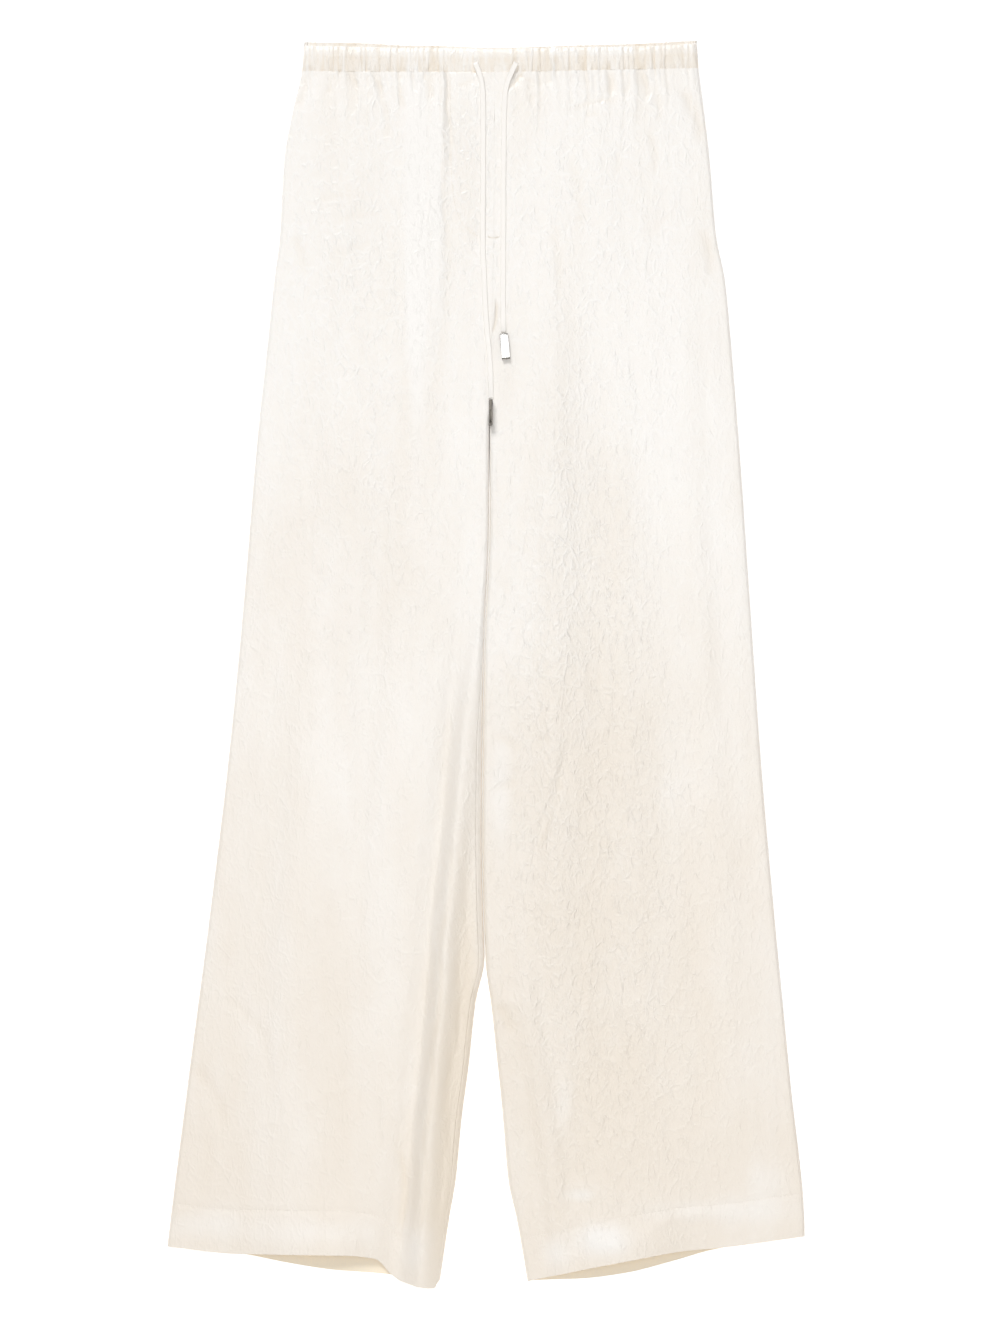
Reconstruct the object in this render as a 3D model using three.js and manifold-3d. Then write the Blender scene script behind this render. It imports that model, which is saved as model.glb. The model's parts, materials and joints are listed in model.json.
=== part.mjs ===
// Wide-leg drawstring trousers in crinkled satin, laid flat with the front up.
// Millimetres, +Z up. X runs across, with the wearer's right leg at -X, and Y runs up
// to the waist. The cloth lies on z = 0, and the origin is under the garment's middle.
// "down" is the distance from the top of the waistband, measured along -Y.

import * as THREE from 'three';
import Module from 'manifold-3d';

// Driving dimensions
const LENGTH = 1148;              // top of the waistband to the lowest hem corner
const CROTCH = 356;               // down to the point where the four legs' seams meet
const HEM_ROW = 1110;             // down to the right leg's outer hem corner
const HEM_TURN = 40;              // depth of the turned-up hem
const CLOTH = 1.2;                // wall of one layer of cloth
const HEM_CLOTH = 2;              // wall where the hem is turned up
const SEAM = 0.3;                 // space between two sewn pieces
const SEAM_SHARE = 0.65;          // of that space, the part left at each piece's edge
const WAIST_SEAM = 28.3;          // down to the waist seam at the right side
const WAIST_LEVEL = 110;          // down to the first row that the waist seam doesn't bend
const CLOSING = 338;              // down to where the inner edges start to roll over
const EDGE_MIDDLE = 2.6;          // height of the seam in a rolled edge
const TOP_RISE = 3.4;             // from that seam up to the front's face
const SIDE_ROLL = 3;              // how far a side edge takes to roll over
const GATHER_LIFT = 0.9;          // half height of a gather under the waistband
const GATHER_UNEVEN = 0.11;       // how far a gather's points stray, as a share of it
const FIRST_KEY = 0.02;           // order of the first gathered point in its row
const GATHERED_KEY = 0.7;         // order of the last gathered point
const BAND_TOP = 7.6;             // height of the front waistband's face
const BAND_WALL = 3;              // casing with its elastic
const BAND_GATHER = 0.55;         // half height of a gather on the waistband
const BAND_SOFT = 0.9;            // how far the casing's face falls at its two edges
const FLY_WALL = 0.8;
const FLY_WIDTH = 43;
const FLY_LENGTH = 153;
const CORD_WIDTH = 5;
const CORD_WALL = 1.4;

const CLOTH_FINISH = { color: 0xf6f0e6, roughness: 0.42, metalness: 0 };
const CORD_FINISH = { color: 0xf8f3ea, roughness: 0.5, metalness: 0 };
const METAL_FINISH = { color: 0xb9b7b2, roughness: 0.2, metalness: 1 };

// Tables with named columns, and a smooth reading between their rows
function table(names, rows) {
  return rows.map((row) => Object.fromEntries(names.map((name, i) => [name, row[i]])));
}

function along(rows, key, column, at) {
  const last = rows.length - 1;
  if (at <= rows[0][key]) return rows[0][column];
  if (at >= rows[last][key]) return rows[last][column];
  let i = 0;
  while (rows[i + 1][key] < at) i += 1;
  const slope = (k) => (rows[k + 1][column] - rows[k][column]) / (rows[k + 1][key] - rows[k][key]);
  const tangent = (k) => {
    if (k === 0) return slope(0);
    if (k === last) return slope(last - 1);
    const before = slope(k - 1);
    const after = slope(k);
    return before * after <= 0 ? 0 : (2 * before * after) / (before + after);
  };
  const span = rows[i + 1][key] - rows[i][key];
  const t = (at - rows[i][key]) / span;
  const fromStart = (1 + 2 * t) * (1 - t) ** 2 * rows[i][column] + t * (1 - t) ** 2 * span * tangent(i);
  const toEnd = t * t * (3 - 2 * t) * rows[i + 1][column] - t * t * (1 - t) * span * tangent(i + 1);
  return fromStart + toEnd;
}

// Side edges, seen from above
const OUTLINE = table(['down', 'right', 'left'], [
  [4, -167, 194],
  [30, -170, 196],
  [60, -177, 200],
  [110, -186, 206],
  [180, -190, 212],
  [220, -195, 220],
  [295, -203, 227],
  [370, -211, 233],
  [515, -223, 243],
  [660, -237, 253],
  [810, -255, 266],
  [955, -274, 280],
  [1100.6, -292.4, 293.5],
  [HEM_ROW, -293.5, 293.5],
]);

// Centre seam above the crotch, then the line between the two inner legs
const CENTRE = table(['down', 'middle', 'gap'], [
  [28, 8, SEAM],
  [180, 7, SEAM],
  [CLOSING, 3.5, SEAM],
  [CROTCH, 3.1, 0.6],
  [441, 3.1, 1],
  [552, -1.4, 0.8],
  [662, -3.2, 0.7],
  [736, -3.7, 0.7],
  [810, -2.3, 0.7],
  [846, -0.9, 1.2],
  [887, -2.6, 14.4],
  [941, -2.6, 26],
  [994, -3.4, 38.3],
  [1049, -3.7, 48.3],
  [1084, -2.9, 61.8],
  [1141, -2.1, 80.3],
]);

// Height of the front's face over the floor, away from its folds
const LIE = table(['down', 'top'], [
  [28, 6.2],
  [70, 7.6],
  [180, 6.6],
  [CROTCH, 6],
  [700, 6],
  [1000, 6.2],
  [LENGTH, 6.4],
]);

// Waistband edges and the seam under it, across the front
const BAND = table(['x', 'top', 'backTop', 'seam'], [
  [-170, 5.5, 1.8, 28.3],
  [-90, 7, 5, 28.8],
  [10, 7.4, 6.4, 29],
  [100, 5.5, 4, 27.6],
  [196, 1.4, 0, 25.8],
]);

// Gathers of each front, from its side to the flat stretch at the fly
const GATHERS_RIGHT = { fromEdge: 5, to: -36, count: 17 };
const GATHERS_LEFT = { fromEdge: 5, to: 24, count: 19 };

// Hem lines, from the outer corner (across 0) to the inner one (across 1)
const HEM_RIGHT = {
  front: table(['across', 'down'], [
    [0, HEM_ROW], [0.27, 1116.6], [0.44, 1116.6], [0.64, 1117.2], [0.764, 1121.3],
    [0.818, 1135], [0.859, 1142.4], [0.976, LENGTH], [1, 1141],
  ]),
  back: table(['across', 'down'], [
    [0, HEM_ROW], [0.27, 1117.2], [0.44, 1125.5], [0.6, 1131.8], [0.82, 1136.4],
    [0.97, LENGTH], [1, 1141],
  ]),
};
const HEM_LEFT = {
  front: table(['across', 'down'], [
    [0, 1100.6], [0.3, 1110.9], [0.44, 1114], [0.645, 1122.4], [0.853, 1133.8], [1, 1142],
  ]),
  back: table(['across', 'down'], [
    [0, 1100.6], [0.32, 1113], [0.48, 1124.4], [0.645, 1135], [0.81, 1140.2],
    [0.93, 1141.2], [1, 1142],
  ]),
};

// Folds: a path down the cloth, its rise or fall, and its half widths on either side of
// the path, towards -X and towards +X
const fold = (toLess, toMore, rows) => ({ toLess, toMore, path: table(['down', 'x', 'rise'], rows) });

const FOLDS_RIGHT = [
  // The lifted hem, with the mouth of the leg under it
  fold(100, 62, [[950, -150, 0], [1040, -150, 2.4], [1100, -150, 7], [1140, -150, 8.6]]),
  // The long trough that leaves the crotch and ends at the hem
  fold(24, 13, [[330, -8, 0], [480, -10, -1.2], [570, -21, -2], [640, -31, -2.4], [780, -45, -2.4],
    [887, -56, -2.4], [1010, -69, -2.4], [1148, -84, -2.6]]),
  // The crest between that trough and the inner edge
  fold(15, 22, [[420, -9, 0], [570, -17, 1.6], [644, -22, 3.2], [725, -28, 4.6], [811, -37, 5.6],
    [913, -44, 6.4], [994, -52, 6.6], [1148, -61, 5.4]]),
  // The ridge and the crease beside the fly
  fold(13, 10, [[28, -47, 1], [80, -46, 2.4], [250, -44, 2], [400, -42, 0]]),
  fold(6, 8, [[28, -36, -1], [60, -36, -1.8], [120, -35, -1.4], [220, -34, 0]]),
  // Soft swells in the upper leg and over the knee
  fold(30, 36, [[60, -120, 0], [160, -126, 1.2], [330, -134, 0.8], [480, -140, 0]]),
  fold(42, 46, [[480, -150, 0], [700, -164, 1.6], [900, -180, 1.5], [1080, -200, 0]]),
  fold(18, 22, [[300, -88, 0], [480, -98, -1], [700, -112, -1.1], [900, -124, 0]]),
];

const FOLDS_LEFT = [
  fold(74, 78, [[950, 128, 0], [1045, 128, 2.4], [1100, 128, 6.8], [1140, 128, 8.2]]),
  fold(28, 30, [[200, 100, 0], [400, 102, -1.1], [800, 112, -1.2], [1020, 122, 0]]),
  fold(20, 26, [[180, 56, 0], [320, 58, 1.8], [620, 62, 2], [860, 66, 1.4], [980, 70, 0]]),
  fold(30, 26, [[260, 176, 0], [460, 190, 1.5], [800, 214, 1.6], [1040, 236, 0]]),
  fold(9, 9, [[640, 76, 0], [672, 70, -1.4], [720, 54, -1.6], [760, 42, 0]]),
  fold(16, 18, [[800, 34, 0], [900, 40, 2], [1020, 58, 2.4], [1148, 72, 1.6]]),
];

// One leg's measures: which way its cloth runs from side to inseam, and how far its
// inner edge is rolled over, so that the inseam comes up onto the top
const RIGHT = {
  side: 'right',
  towards: 1,
  hem: HEM_RIGHT,
  folds: FOLDS_RIGHT,
  gathers: GATHERS_RIGHT,
  inner: table(['down', 'roll', 'turn'], [
    [CROTCH, 4, 0], [560, 6, 36], [660, 8, 70], [1000, 8, 72], [HEM_ROW, 7, 60],
  ]),
  stops: [0, 0.12, 0.25, 0.37, 0.48, 0.58, 0.66, 0.715, 0.76, 0.8, 0.84, 0.88, 0.92, 0.96, 1],
};
const LEFT = {
  side: 'left',
  towards: -1,
  hem: HEM_LEFT,
  folds: FOLDS_LEFT,
  gathers: GATHERS_LEFT,
  inner: table(['down', 'roll', 'turn'], [
    [CROTCH, 4, 0], [700, 4, 0], [HEM_ROW, 4.5, 0],
  ]),
  stops: [0, 0.1, 0.2, 0.3, 0.4, 0.5, 0.58, 0.66, 0.73, 0.79, 0.85, 0.9, 0.95, 1],
};
const BACK_STOPS = [0, 0.3, 0.6, 0.85, 1];

// Rows of a panel, by their distance down at the side edge. perGather is the number of
// points across each gather, and 0 is a row with none.
const ROWS = table(['down', 'perGather', 'lift'], [
  [28.6, 4, 0.85], [34, 4, 1], [44, 4, 0.7], [58, 2, 0.4], [76, 0, 0], [100, 0, 0],
  [130, 0, 0], [165, 0, 0], [200, 0, 0], [240, 0, 0], [285, 0, 0], [318, 0, 0], [CLOSING, 0, 0],
  [347, 0, 0], [CROTCH, 0, 0], [390, 0, 0], [441, 0, 0], [500, 0, 0], [560, 0, 0],
  [612, 0, 0], [662, 0, 0], [715, 0, 0], [765, 0, 0], [810, 0, 0], [838, 0, 0], [862, 0, 0],
  [900, 0, 0], [945, 0, 0], [990, 0, 0], [1030, 0, 0], [1058, 0, 0], [1069.5, 0, 0],
  [1070.5, 0, 0], [1090, 0, 0], [HEM_ROW, 0, 0],
]);

// Degrees round a rolled edge, from its seam to just short of the flat cloth
const ROLL_ANGLES = [0, 23, 46, 68];
const UNDER_STEPS = 7;

const mix = THREE.MathUtils.lerp;
const smooth = (at, from, to) => THREE.MathUtils.smoothstep(at, from, to);
const radians = THREE.MathUtils.degToRad;

function bump(fold, x, down) {
  const offset = x - along(fold.path, 'down', 'x', down);
  const reach = offset < 0 ? fold.toLess : fold.toMore;
  const share = Math.min(1, Math.abs(offset) / reach);
  return (along(fold.path, 'down', 'rise', down) * (1 + Math.cos(Math.PI * share))) / 2;
}

function height(leg, x, down, wall) {
  const base = along(LIE, 'down', 'top', down);
  const folded = leg.folds.reduce((sum, one) => sum + bump(one, x, down), base);
  return Math.max(folded, 2 * wall + 2 * SEAM);
}

// Half of a seam's space, as an angle of the rolled edge
function seamAngle(roll, rise, angle) {
  const arc = Math.hypot(roll * Math.sin(angle), rise * Math.cos(angle));
  return (SEAM_SHARE * SEAM) / arc;
}

// The row's measures: where it starts and ends, its wall, and the way a point across it
// finds its distance down
function measureRow(leg, face, row) {
  const hem = leg.hem[face];
  const run = (row.down - CROTCH) / (HEM_ROW - CROTCH);
  const fall = Math.max(0, run);
  const corner = hem[0].down;
  const innerCorner = hem[hem.length - 1].down;
  const sideDown = run > 0 ? CROTCH + run * (corner - CROTCH) : row.down;
  const downAt = (across, x) => {
    const straight = mix(corner, innerCorner, across);
    const bow = along(hem, 'across', 'down', across) - straight;
    const waist = (along(BAND, 'x', 'seam', x) - WAIST_SEAM) * (1 - smooth(row.down, 28, WAIST_LEVEL));
    return sideDown + fall * (innerCorner - corner) * across + fall ** 3 * bow + waist;
  };
  const innerDown = downAt(1, 0);
  const middle = along(CENTRE, 'down', 'middle', innerDown);
  const gap = along(CENTRE, 'down', 'gap', innerDown);
  return {
    downAt,
    wall: row.down > HEM_ROW - HEM_TURN ? HEM_CLOTH : CLOTH,
    sideX: along(OUTLINE, 'down', leg.side, sideDown),
    innerX: middle - (leg.towards * gap) / 2,
    innerRoll: along(leg.inner, 'down', 'roll', innerDown),
    turn: radians(along(leg.inner, 'down', 'turn', innerDown)),
    closing: smooth(row.down, CLOSING, CROTCH),
  };
}

// Places across a row between its two rolled edges, each with the gather's wave there
function gatherColumns(leg, row, from, to) {
  const { gathers, towards } = leg;
  const start = from + towards * (gathers.fromEdge - SIDE_ROLL);
  const pitch = (gathers.to - start) / gathers.count;
  const columns = [{ x: from, wave: 0, key: 0 }];
  const quarters = gathers.count * 4;
  for (let i = 0; i <= quarters; i += 1) {
    if (row.perGather === 2 && i % 2 === 0 && i > 0 && i < quarters) continue;
    const which = Math.floor(i / 4);
    const uneven = i > 0 && i < quarters ? GATHER_UNEVEN * Math.sin(2.3 * which + 0.8) : 0;
    const strength = 0.72 + 0.28 * Math.sin(1.7 * which + 1);
    columns.push({
      x: start + pitch * (i / 4 + uneven),
      wave: row.lift * GATHER_LIFT * strength * Math.sin((Math.PI * i) / 2),
      key: FIRST_KEY + ((GATHERED_KEY - FIRST_KEY) * i) / quarters,
    });
  }
  for (const share of [0.2, 0.45, 0.7, 1]) {
    columns.push({ x: mix(gathers.to, to, share), wave: 0, key: mix(GATHERED_KEY, 1, share) });
  }
  return columns;
}

function plainColumns(stops, from, to) {
  return stops.map((stop) => ({ x: mix(from, to, stop), wave: 0, key: stop }));
}

// One row of a front panel: its face, and its inside one wall lower
function frontRow(leg, row) {
  const at = measureRow(leg, 'front', row);
  const way = leg.towards;
  const { wall, sideX, innerX, innerRoll, closing } = at;
  const width = innerX - sideX;
  const points = [];
  const add = (key, x, inX, place) => {
    const down = at.downAt((x - sideX) / width, x);
    const top = height(leg, x, down, wall);
    const y = LENGTH / 2 - down;
    const { out, inside } = place(top);
    points.push({ key, out: [x, y, out], inside: [inX, y, inside] });
  };
  for (const degrees of ROLL_ANGLES) {
    const gap = degrees === 0 ? seamAngle(SIDE_ROLL, TOP_RISE, 0) : 0;
    const angle = radians(degrees) + gap;
    const x = sideX + way * SIDE_ROLL * (1 - Math.cos(angle));
    const inX = sideX + way * (SIDE_ROLL - (SIDE_ROLL - wall) * Math.cos(angle));
    add(degrees / 900, x, inX, (top) => ({
      out: EDGE_MIDDLE + (top - EDGE_MIDDLE) * Math.sin(angle),
      inside: EDGE_MIDDLE + (top - wall - EDGE_MIDDLE) * Math.sin(angle),
    }));
  }
  const from = sideX + way * SIDE_ROLL;
  const to = innerX - way * innerRoll;
  const columns = row.perGather
    ? gatherColumns(leg, row, from, to)
    : plainColumns(leg.stops, from, to);
  for (const column of columns) {
    add(0.1 + 0.8 * column.key, column.x, column.x, (top) => ({
      out: top + column.wave,
      inside: top + column.wave - wall,
    }));
  }
  const last = at.turn + seamAngle(innerRoll, TOP_RISE, at.turn);
  for (const degrees of [...ROLL_ANGLES].reverse()) {
    const angle = mix(last, Math.PI / 2, degrees / 90);
    const reach = innerRoll - wall * closing;
    add(0.9 + (90 - degrees) / 900, innerX - way * innerRoll * (1 - Math.cos(angle)),
      innerX - way * (innerRoll - reach * Math.cos(angle)), (top) => ({
        out: top - closing * (top - EDGE_MIDDLE) * (1 - Math.sin(angle)),
        inside: top - wall - closing * (top - wall - EDGE_MIDDLE) * (1 - Math.sin(angle)),
      }));
  }
  return points;
}

// One row of a back panel: its face is the flat underside, and it rolls up at the edges
function backRow(leg, row) {
  const at = measureRow(leg, 'back', row);
  const way = leg.towards;
  const { wall, sideX, innerX, innerRoll, closing, turn } = at;
  const width = innerX - sideX;
  const points = [];
  const add = (key, x, inX, out, inside) => {
    const y = LENGTH / 2 - at.downAt((x - sideX) / width, x);
    points.push({ key, out: [x, y, out], inside: [inX, y, inside] });
  };
  for (const degrees of ROLL_ANGLES) {
    const gap = degrees === 0 ? seamAngle(SIDE_ROLL, EDGE_MIDDLE, 0) : 0;
    const angle = -radians(degrees) - gap;
    const rise = 1 + Math.sin(angle);
    add(degrees / 900, sideX + way * SIDE_ROLL * (1 - Math.cos(angle)),
      sideX + way * (SIDE_ROLL - (SIDE_ROLL - wall) * Math.cos(angle)),
      EDGE_MIDDLE * rise, wall + (EDGE_MIDDLE - wall) * rise);
  }
  const from = sideX + way * SIDE_ROLL;
  const to = innerX - way * innerRoll;
  for (const column of plainColumns(BACK_STOPS, from, to)) {
    add(0.1 + 0.6 * column.key, column.x, column.x, 0, wall);
  }
  const reach = innerRoll - wall * closing;
  const place = (key, angle) => {
    const x = innerX - way * innerRoll * (1 - Math.cos(angle));
    const inX = innerX - way * (innerRoll - reach * Math.cos(angle));
    if (angle <= 0) {
      const rise = closing * (1 + Math.sin(angle));
      add(key, x, inX, EDGE_MIDDLE * rise, wall + (EDGE_MIDDLE - wall) * rise);
      return;
    }
    const top = height(leg, x, at.downAt((x - sideX) / width, x), wall);
    add(key, x, inX, EDGE_MIDDLE + (top - EDGE_MIDDLE) * Math.sin(angle),
      EDGE_MIDDLE + (top - wall - EDGE_MIDDLE) * Math.sin(angle));
  };
  const end = turn - seamAngle(innerRoll, turn > 0 ? TOP_RISE : EDGE_MIDDLE, turn);
  for (let step = 1; step <= UNDER_STEPS; step += 1) {
    place(0.7 + (0.3 * step) / UNDER_STEPS, mix(-Math.PI / 2, end, step / UNDER_STEPS));
  }
  return points;
}

// A closed wall from rows of face points and rows of inside points. Rows may differ in
// their number of points, and neighbours are joined in the order of their keys.
function zip(faces, first, second, flip) {
  let i = 0;
  let j = 0;
  while (i < first.length - 1 || j < second.length - 1) {
    const stepFirst = j === second.length - 1
      || (i < first.length - 1 && first[i + 1].key <= second[j + 1].key);
    const triangle = stepFirst
      ? [first[i].index, second[j].index, first[i + 1].index]
      : [first[i].index, second[j].index, second[j + 1].index];
    faces.push(flip ? [triangle[0], triangle[2], triangle[1]] : triangle);
    if (stepFirst) i += 1;
    else j += 1;
  }
}

function wallGeometry(outRows, inRows) {
  const positions = [];
  const numbered = (rows) => rows.map((row) => row.map((point) => {
    positions.push(point.at);
    return { key: point.key, index: positions.length - 1 };
  }));
  const out = numbered(outRows);
  const inside = numbered(inRows);
  const faces = [];
  for (let r = 0; r < out.length - 1; r += 1) {
    zip(faces, out[r], out[r + 1], false);
    zip(faces, inside[r], inside[r + 1], true);
    for (const end of [0, -1]) {
      const corner = [out[r], out[r + 1], inside[r + 1], inside[r]].map((row) => row.at(end).index);
      const [a, b, c, d] = end === 0 ? corner : [corner[3], corner[2], corner[1], corner[0]];
      faces.push([a, d, b], [b, d, c]);
    }
  }
  zip(faces, inside[0], out[0], false);
  zip(faces, out.at(-1), inside.at(-1), false);
  return closedGeometry(positions, faces);
}

function closedGeometry(positions, faces) {
  const corner = (face) => face.map((index) => new THREE.Vector3(...positions[index]));
  const volume = faces.reduce((sum, face) => {
    const [a, b, c] = corner(face);
    return sum + a.dot(b.cross(c)) / 6;
  }, 0);
  const geometry = new THREE.BufferGeometry();
  geometry.setAttribute('position', new THREE.Float32BufferAttribute(positions.flat(), 3));
  geometry.setIndex(faces.flatMap(([a, b, c]) => (volume > 0 ? [a, b, c] : [a, c, b])));
  geometry.computeVertexNormals();
  return geometry;
}

const side = (rows, which) => rows.map((row) => row.map((point) => ({
  key: point.key,
  at: point[which],
})));

function panelGeometry(rows) {
  return wallGeometry(side(rows, 'out'), side(rows, 'inside'));
}

// The waistband's two halves, each an elastic casing that rolls over at the side seams
const BAND_ROWS = table(['share', 'soft'], [[0, 1], [0.1, 0], [0.5, 0], [0.9, 0], [1, 1]]);
const BAND_ROLL = BAND_TOP / 2;

function bandColumns() {
  const gathered = (leg, sideX) => gatherColumns(leg, { perGather: 4, lift: 1 }, sideX,
    leg.gathers.to).filter((column) => column.key > 0 && column.key <= GATHERED_KEY);
  const rightFrom = along(OUTLINE, 'down', 'right', 28) + BAND_ROLL;
  const leftFrom = along(OUTLINE, 'down', 'left', 28) - BAND_ROLL;
  const right = gathered(RIGHT, rightFrom);
  const left = gathered(LEFT, leftFrom).reverse();
  const flat = [-24, -10, 4, 16].map((x) => ({ x, wave: 0 }));
  return [...right, ...flat, ...left];
}

function bandHalf(isFront) {
  const columns = bandColumns();
  const plain = [-150, -90, -30, 30, 90, 150];
  const outRows = [];
  const inRows = [];
  for (const row of BAND_ROWS) {
    const out = [];
    const inside = [];
    const add = (list, x, z) => {
      const seam = along(BAND, 'x', 'seam', x) - SEAM;
      const top = along(BAND, 'x', isFront ? 'top' : 'backTop', x);
      list.push({ key: x, at: [x, LENGTH / 2 - mix(top, seam, row.share), z] });
    };
    const soft = row.soft * BAND_SOFT;
    const near = along(OUTLINE, 'down', 'right', mix(5, 28, row.share));
    const far = along(OUTLINE, 'down', 'left', mix(2, 26, row.share));
    const edge = (list, end, way, depth) => {
      const angles = way > 0 ? [...ROLL_ANGLES, 90] : [90, ...[...ROLL_ANGLES].reverse()];
      for (const degrees of angles) {
        const angle = radians(degrees) + (degrees === 0 ? seamAngle(BAND_ROLL, BAND_ROLL, 0) : 0);
        const radius = BAND_ROLL - depth;
        const x = end + way * (BAND_ROLL - radius * Math.cos(angle));
        const rise = (radius - (depth ? 0 : soft * Math.sin(angle))) * Math.sin(angle);
        add(list, x, isFront ? BAND_ROLL + rise : BAND_ROLL - rise);
      }
    };
    const face = isFront ? BAND_TOP - soft : soft;
    edge(out, near, 1, 0);
    if (isFront) {
      for (const column of columns) {
        add(out, column.x, face + (column.wave / GATHER_LIFT) * BAND_GATHER * (1 - row.soft / 2));
      }
    } else {
      for (const x of plain) add(out, x, face);
    }
    edge(out, far, -1, 0);
    edge(inside, near, 1, BAND_WALL);
    for (const x of plain) add(inside, x, isFront ? BAND_TOP - BAND_WALL : BAND_WALL);
    edge(inside, far, -1, BAND_WALL);
    outRows.push(out);
    inRows.push(inside);
  }
  return wallGeometry(outRows, inRows);
}

// The fly lies on the right front: the front's own face, moved out, and cut to a J
const wasm = await Module();
wasm.setup();

function solidOf(geometry) {
  return new wasm.Manifold(new wasm.Mesh({
    numProp: 3,
    vertProperties: new Float32Array(geometry.attributes.position.array),
    triVerts: new Uint32Array(geometry.index.array),
  }));
}

function flyGeometry() {
  const rows = ROWS.filter((row) => row.down < FLY_LENGTH + 60).map((row) => frontRow(RIGHT, row));
  const lifted = (by) => rows.map((row) => row.map((point) => ({
    key: point.key,
    at: [point.out[0], point.out[1], point.out[2] + by],
  })));
  const slab = wallGeometry(lifted(SEAM + FLY_WALL), lifted(SEAM));
  const top = LENGTH / 2 - 20;
  const bottom = LENGTH / 2 - 29 - FLY_LENGTH;
  const centreTop = along(CENTRE, 'down', 'middle', 20) - SEAM / 2;
  const centreBottom = along(CENTRE, 'down', 'middle', FLY_LENGTH + 29) - SEAM / 2;
  const outer = centreTop - FLY_WIDTH;
  const outline = new THREE.Shape();
  outline.moveTo(centreTop, top);
  outline.lineTo(outer, top);
  outline.lineTo(outer + 1, bottom + 62);
  outline.bezierCurveTo(outer + 2, bottom + 26, outer + 16, bottom + 2, centreBottom, bottom);
  outline.closePath();
  const block = new THREE.ExtrudeGeometry(outline, { depth: 40, bevelEnabled: false, curveSegments: 10 });
  const cutter = closedFrom(block);
  const cut = solidOf(slab).intersect(solidOf(cutter)).getMesh();
  const geometry = new THREE.BufferGeometry();
  geometry.setAttribute('position', new THREE.BufferAttribute(cut.vertProperties, 3));
  geometry.setIndex(new THREE.BufferAttribute(cut.triVerts, 1));
  geometry.computeVertexNormals();
  return geometry;
}

// The same shape with its shared corners merged
function closedFrom(geometry) {
  const source = geometry.index ? geometry.toNonIndexed() : geometry;
  const place = source.attributes.position;
  const numbers = new Map();
  const positions = [];
  const faces = [];
  for (let i = 0; i < place.count; i += 3) {
    const face = [0, 1, 2].map((k) => {
      const at = [place.getX(i + k), place.getY(i + k), place.getZ(i + k)];
      const name = at.map((value) => value.toFixed(4)).join(' ');
      if (!numbers.has(name)) {
        numbers.set(name, positions.length);
        positions.push(at);
      }
      return numbers.get(name);
    });
    if (new Set(face).size === 3) faces.push(face);
  }
  return closedGeometry(positions, faces);
}

// Drawstrings: flat tubes of the trousers' own cloth, from the waistband's slits down
class FlatRoute extends THREE.CatmullRomCurve3 {
  computeFrenetFrames(segments) {
    const frames = { tangents: [], normals: [], binormals: [] };
    for (let i = 0; i <= segments; i += 1) {
      const tangent = this.getTangentAt(i / segments);
      const across = new THREE.Vector3(0, 0, 1).cross(tangent).normalize();
      frames.tangents.push(tangent);
      frames.normals.push(across);
      frames.binormals.push(tangent.clone().cross(across).normalize());
    }
    return frames;
  }
}

const CORD_RIGHT = table(['x', 'down', 'z'], [
  [-10, 21, 8.8], [-7.6, 27, 8.7], [-4.6, 36, 8.8], [-3, 48, 9.2], [-2.6, 60, 9.6],
  [-2.6, 85, 9.75], [-2.6, 115, 9.5], [-2.8, 150, 9.1], [-3, 172, 8.9], [-3, 188, 8.35],
  [-1.8, 215, 7.6], [-0.6, 245, 7.4], [1, 268, 7.3], [3.2, 290, 7.25], [4.2, 310, 7.2],
  [4.3, 330, 7.15],
]);
const CORD_LEFT = table(['x', 'down', 'z'], [
  [28, 21, 8.9], [24.4, 28, 8.6], [20.5, 37, 8.1], [17.8, 48, 8.2], [16.8, 64, 8.6],
  [16.4, 85, 8.7], [16.2, 110, 8.5], [16, 140, 8.15], [16, 170, 7.85], [15.9, 200, 7.65],
  [15.7, 230, 7.5], [15.8, 250, 7.4], [16.2, 269, 7.35],
]);

function flatSection(width, wall, corner) {
  const section = new THREE.Shape();
  const across = width / 2;
  const up = wall / 2;
  section.moveTo(across, -up + corner);
  section.lineTo(across, up - corner);
  section.lineTo(across - corner, up);
  section.lineTo(-across + corner, up);
  section.lineTo(-across, up - corner);
  section.lineTo(-across, -up + corner);
  section.lineTo(-across + corner, -up);
  section.lineTo(across - corner, -up);
  section.closePath();
  return section;
}

function cordGeometry(route) {
  const points = route.map((point) => new THREE.Vector3(point.x, LENGTH / 2 - point.down, point.z));
  const path = new FlatRoute(points);
  const steps = Math.round(path.getLength() / (2.4 * CORD_WIDTH));
  const section = flatSection(CORD_WIDTH, CORD_WALL, 0.4);
  return new THREE.ExtrudeGeometry(section, { steps, extrudePath: path, curveSegments: 1 });
}

// Metal ends, crimped on the drawstrings: the right one lies on its edge, the left one flat
const TIP_LONG = 23.6;
const TIP_BROAD = 7.4;
const TIP_THIN = 4;

function tipGeometry(across, up, tilt, centre) {
  const bevel = 0.5;
  const outline = flatSection(across - 2 * bevel, up - 2 * bevel, 0.4);
  const body = new THREE.ExtrudeGeometry(outline, {
    depth: TIP_LONG - 2 * bevel,
    bevelEnabled: true,
    bevelThickness: bevel,
    bevelSize: bevel,
    bevelSegments: 1,
  });
  body.translate(0, 0, -(TIP_LONG - 2 * bevel) / 2);
  body.rotateX(Math.PI / 2);
  body.rotateZ(tilt);
  body.translate(centre.x, LENGTH / 2 - centre.down, centre.z);
  return body;
}

// The garment
const trousers = new THREE.Group();

function piece(name, geometry, finish) {
  const mesh = new THREE.Mesh(geometry, new THREE.MeshStandardMaterial(finish));
  mesh.name = name;
  trousers.add(mesh);
}

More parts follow.
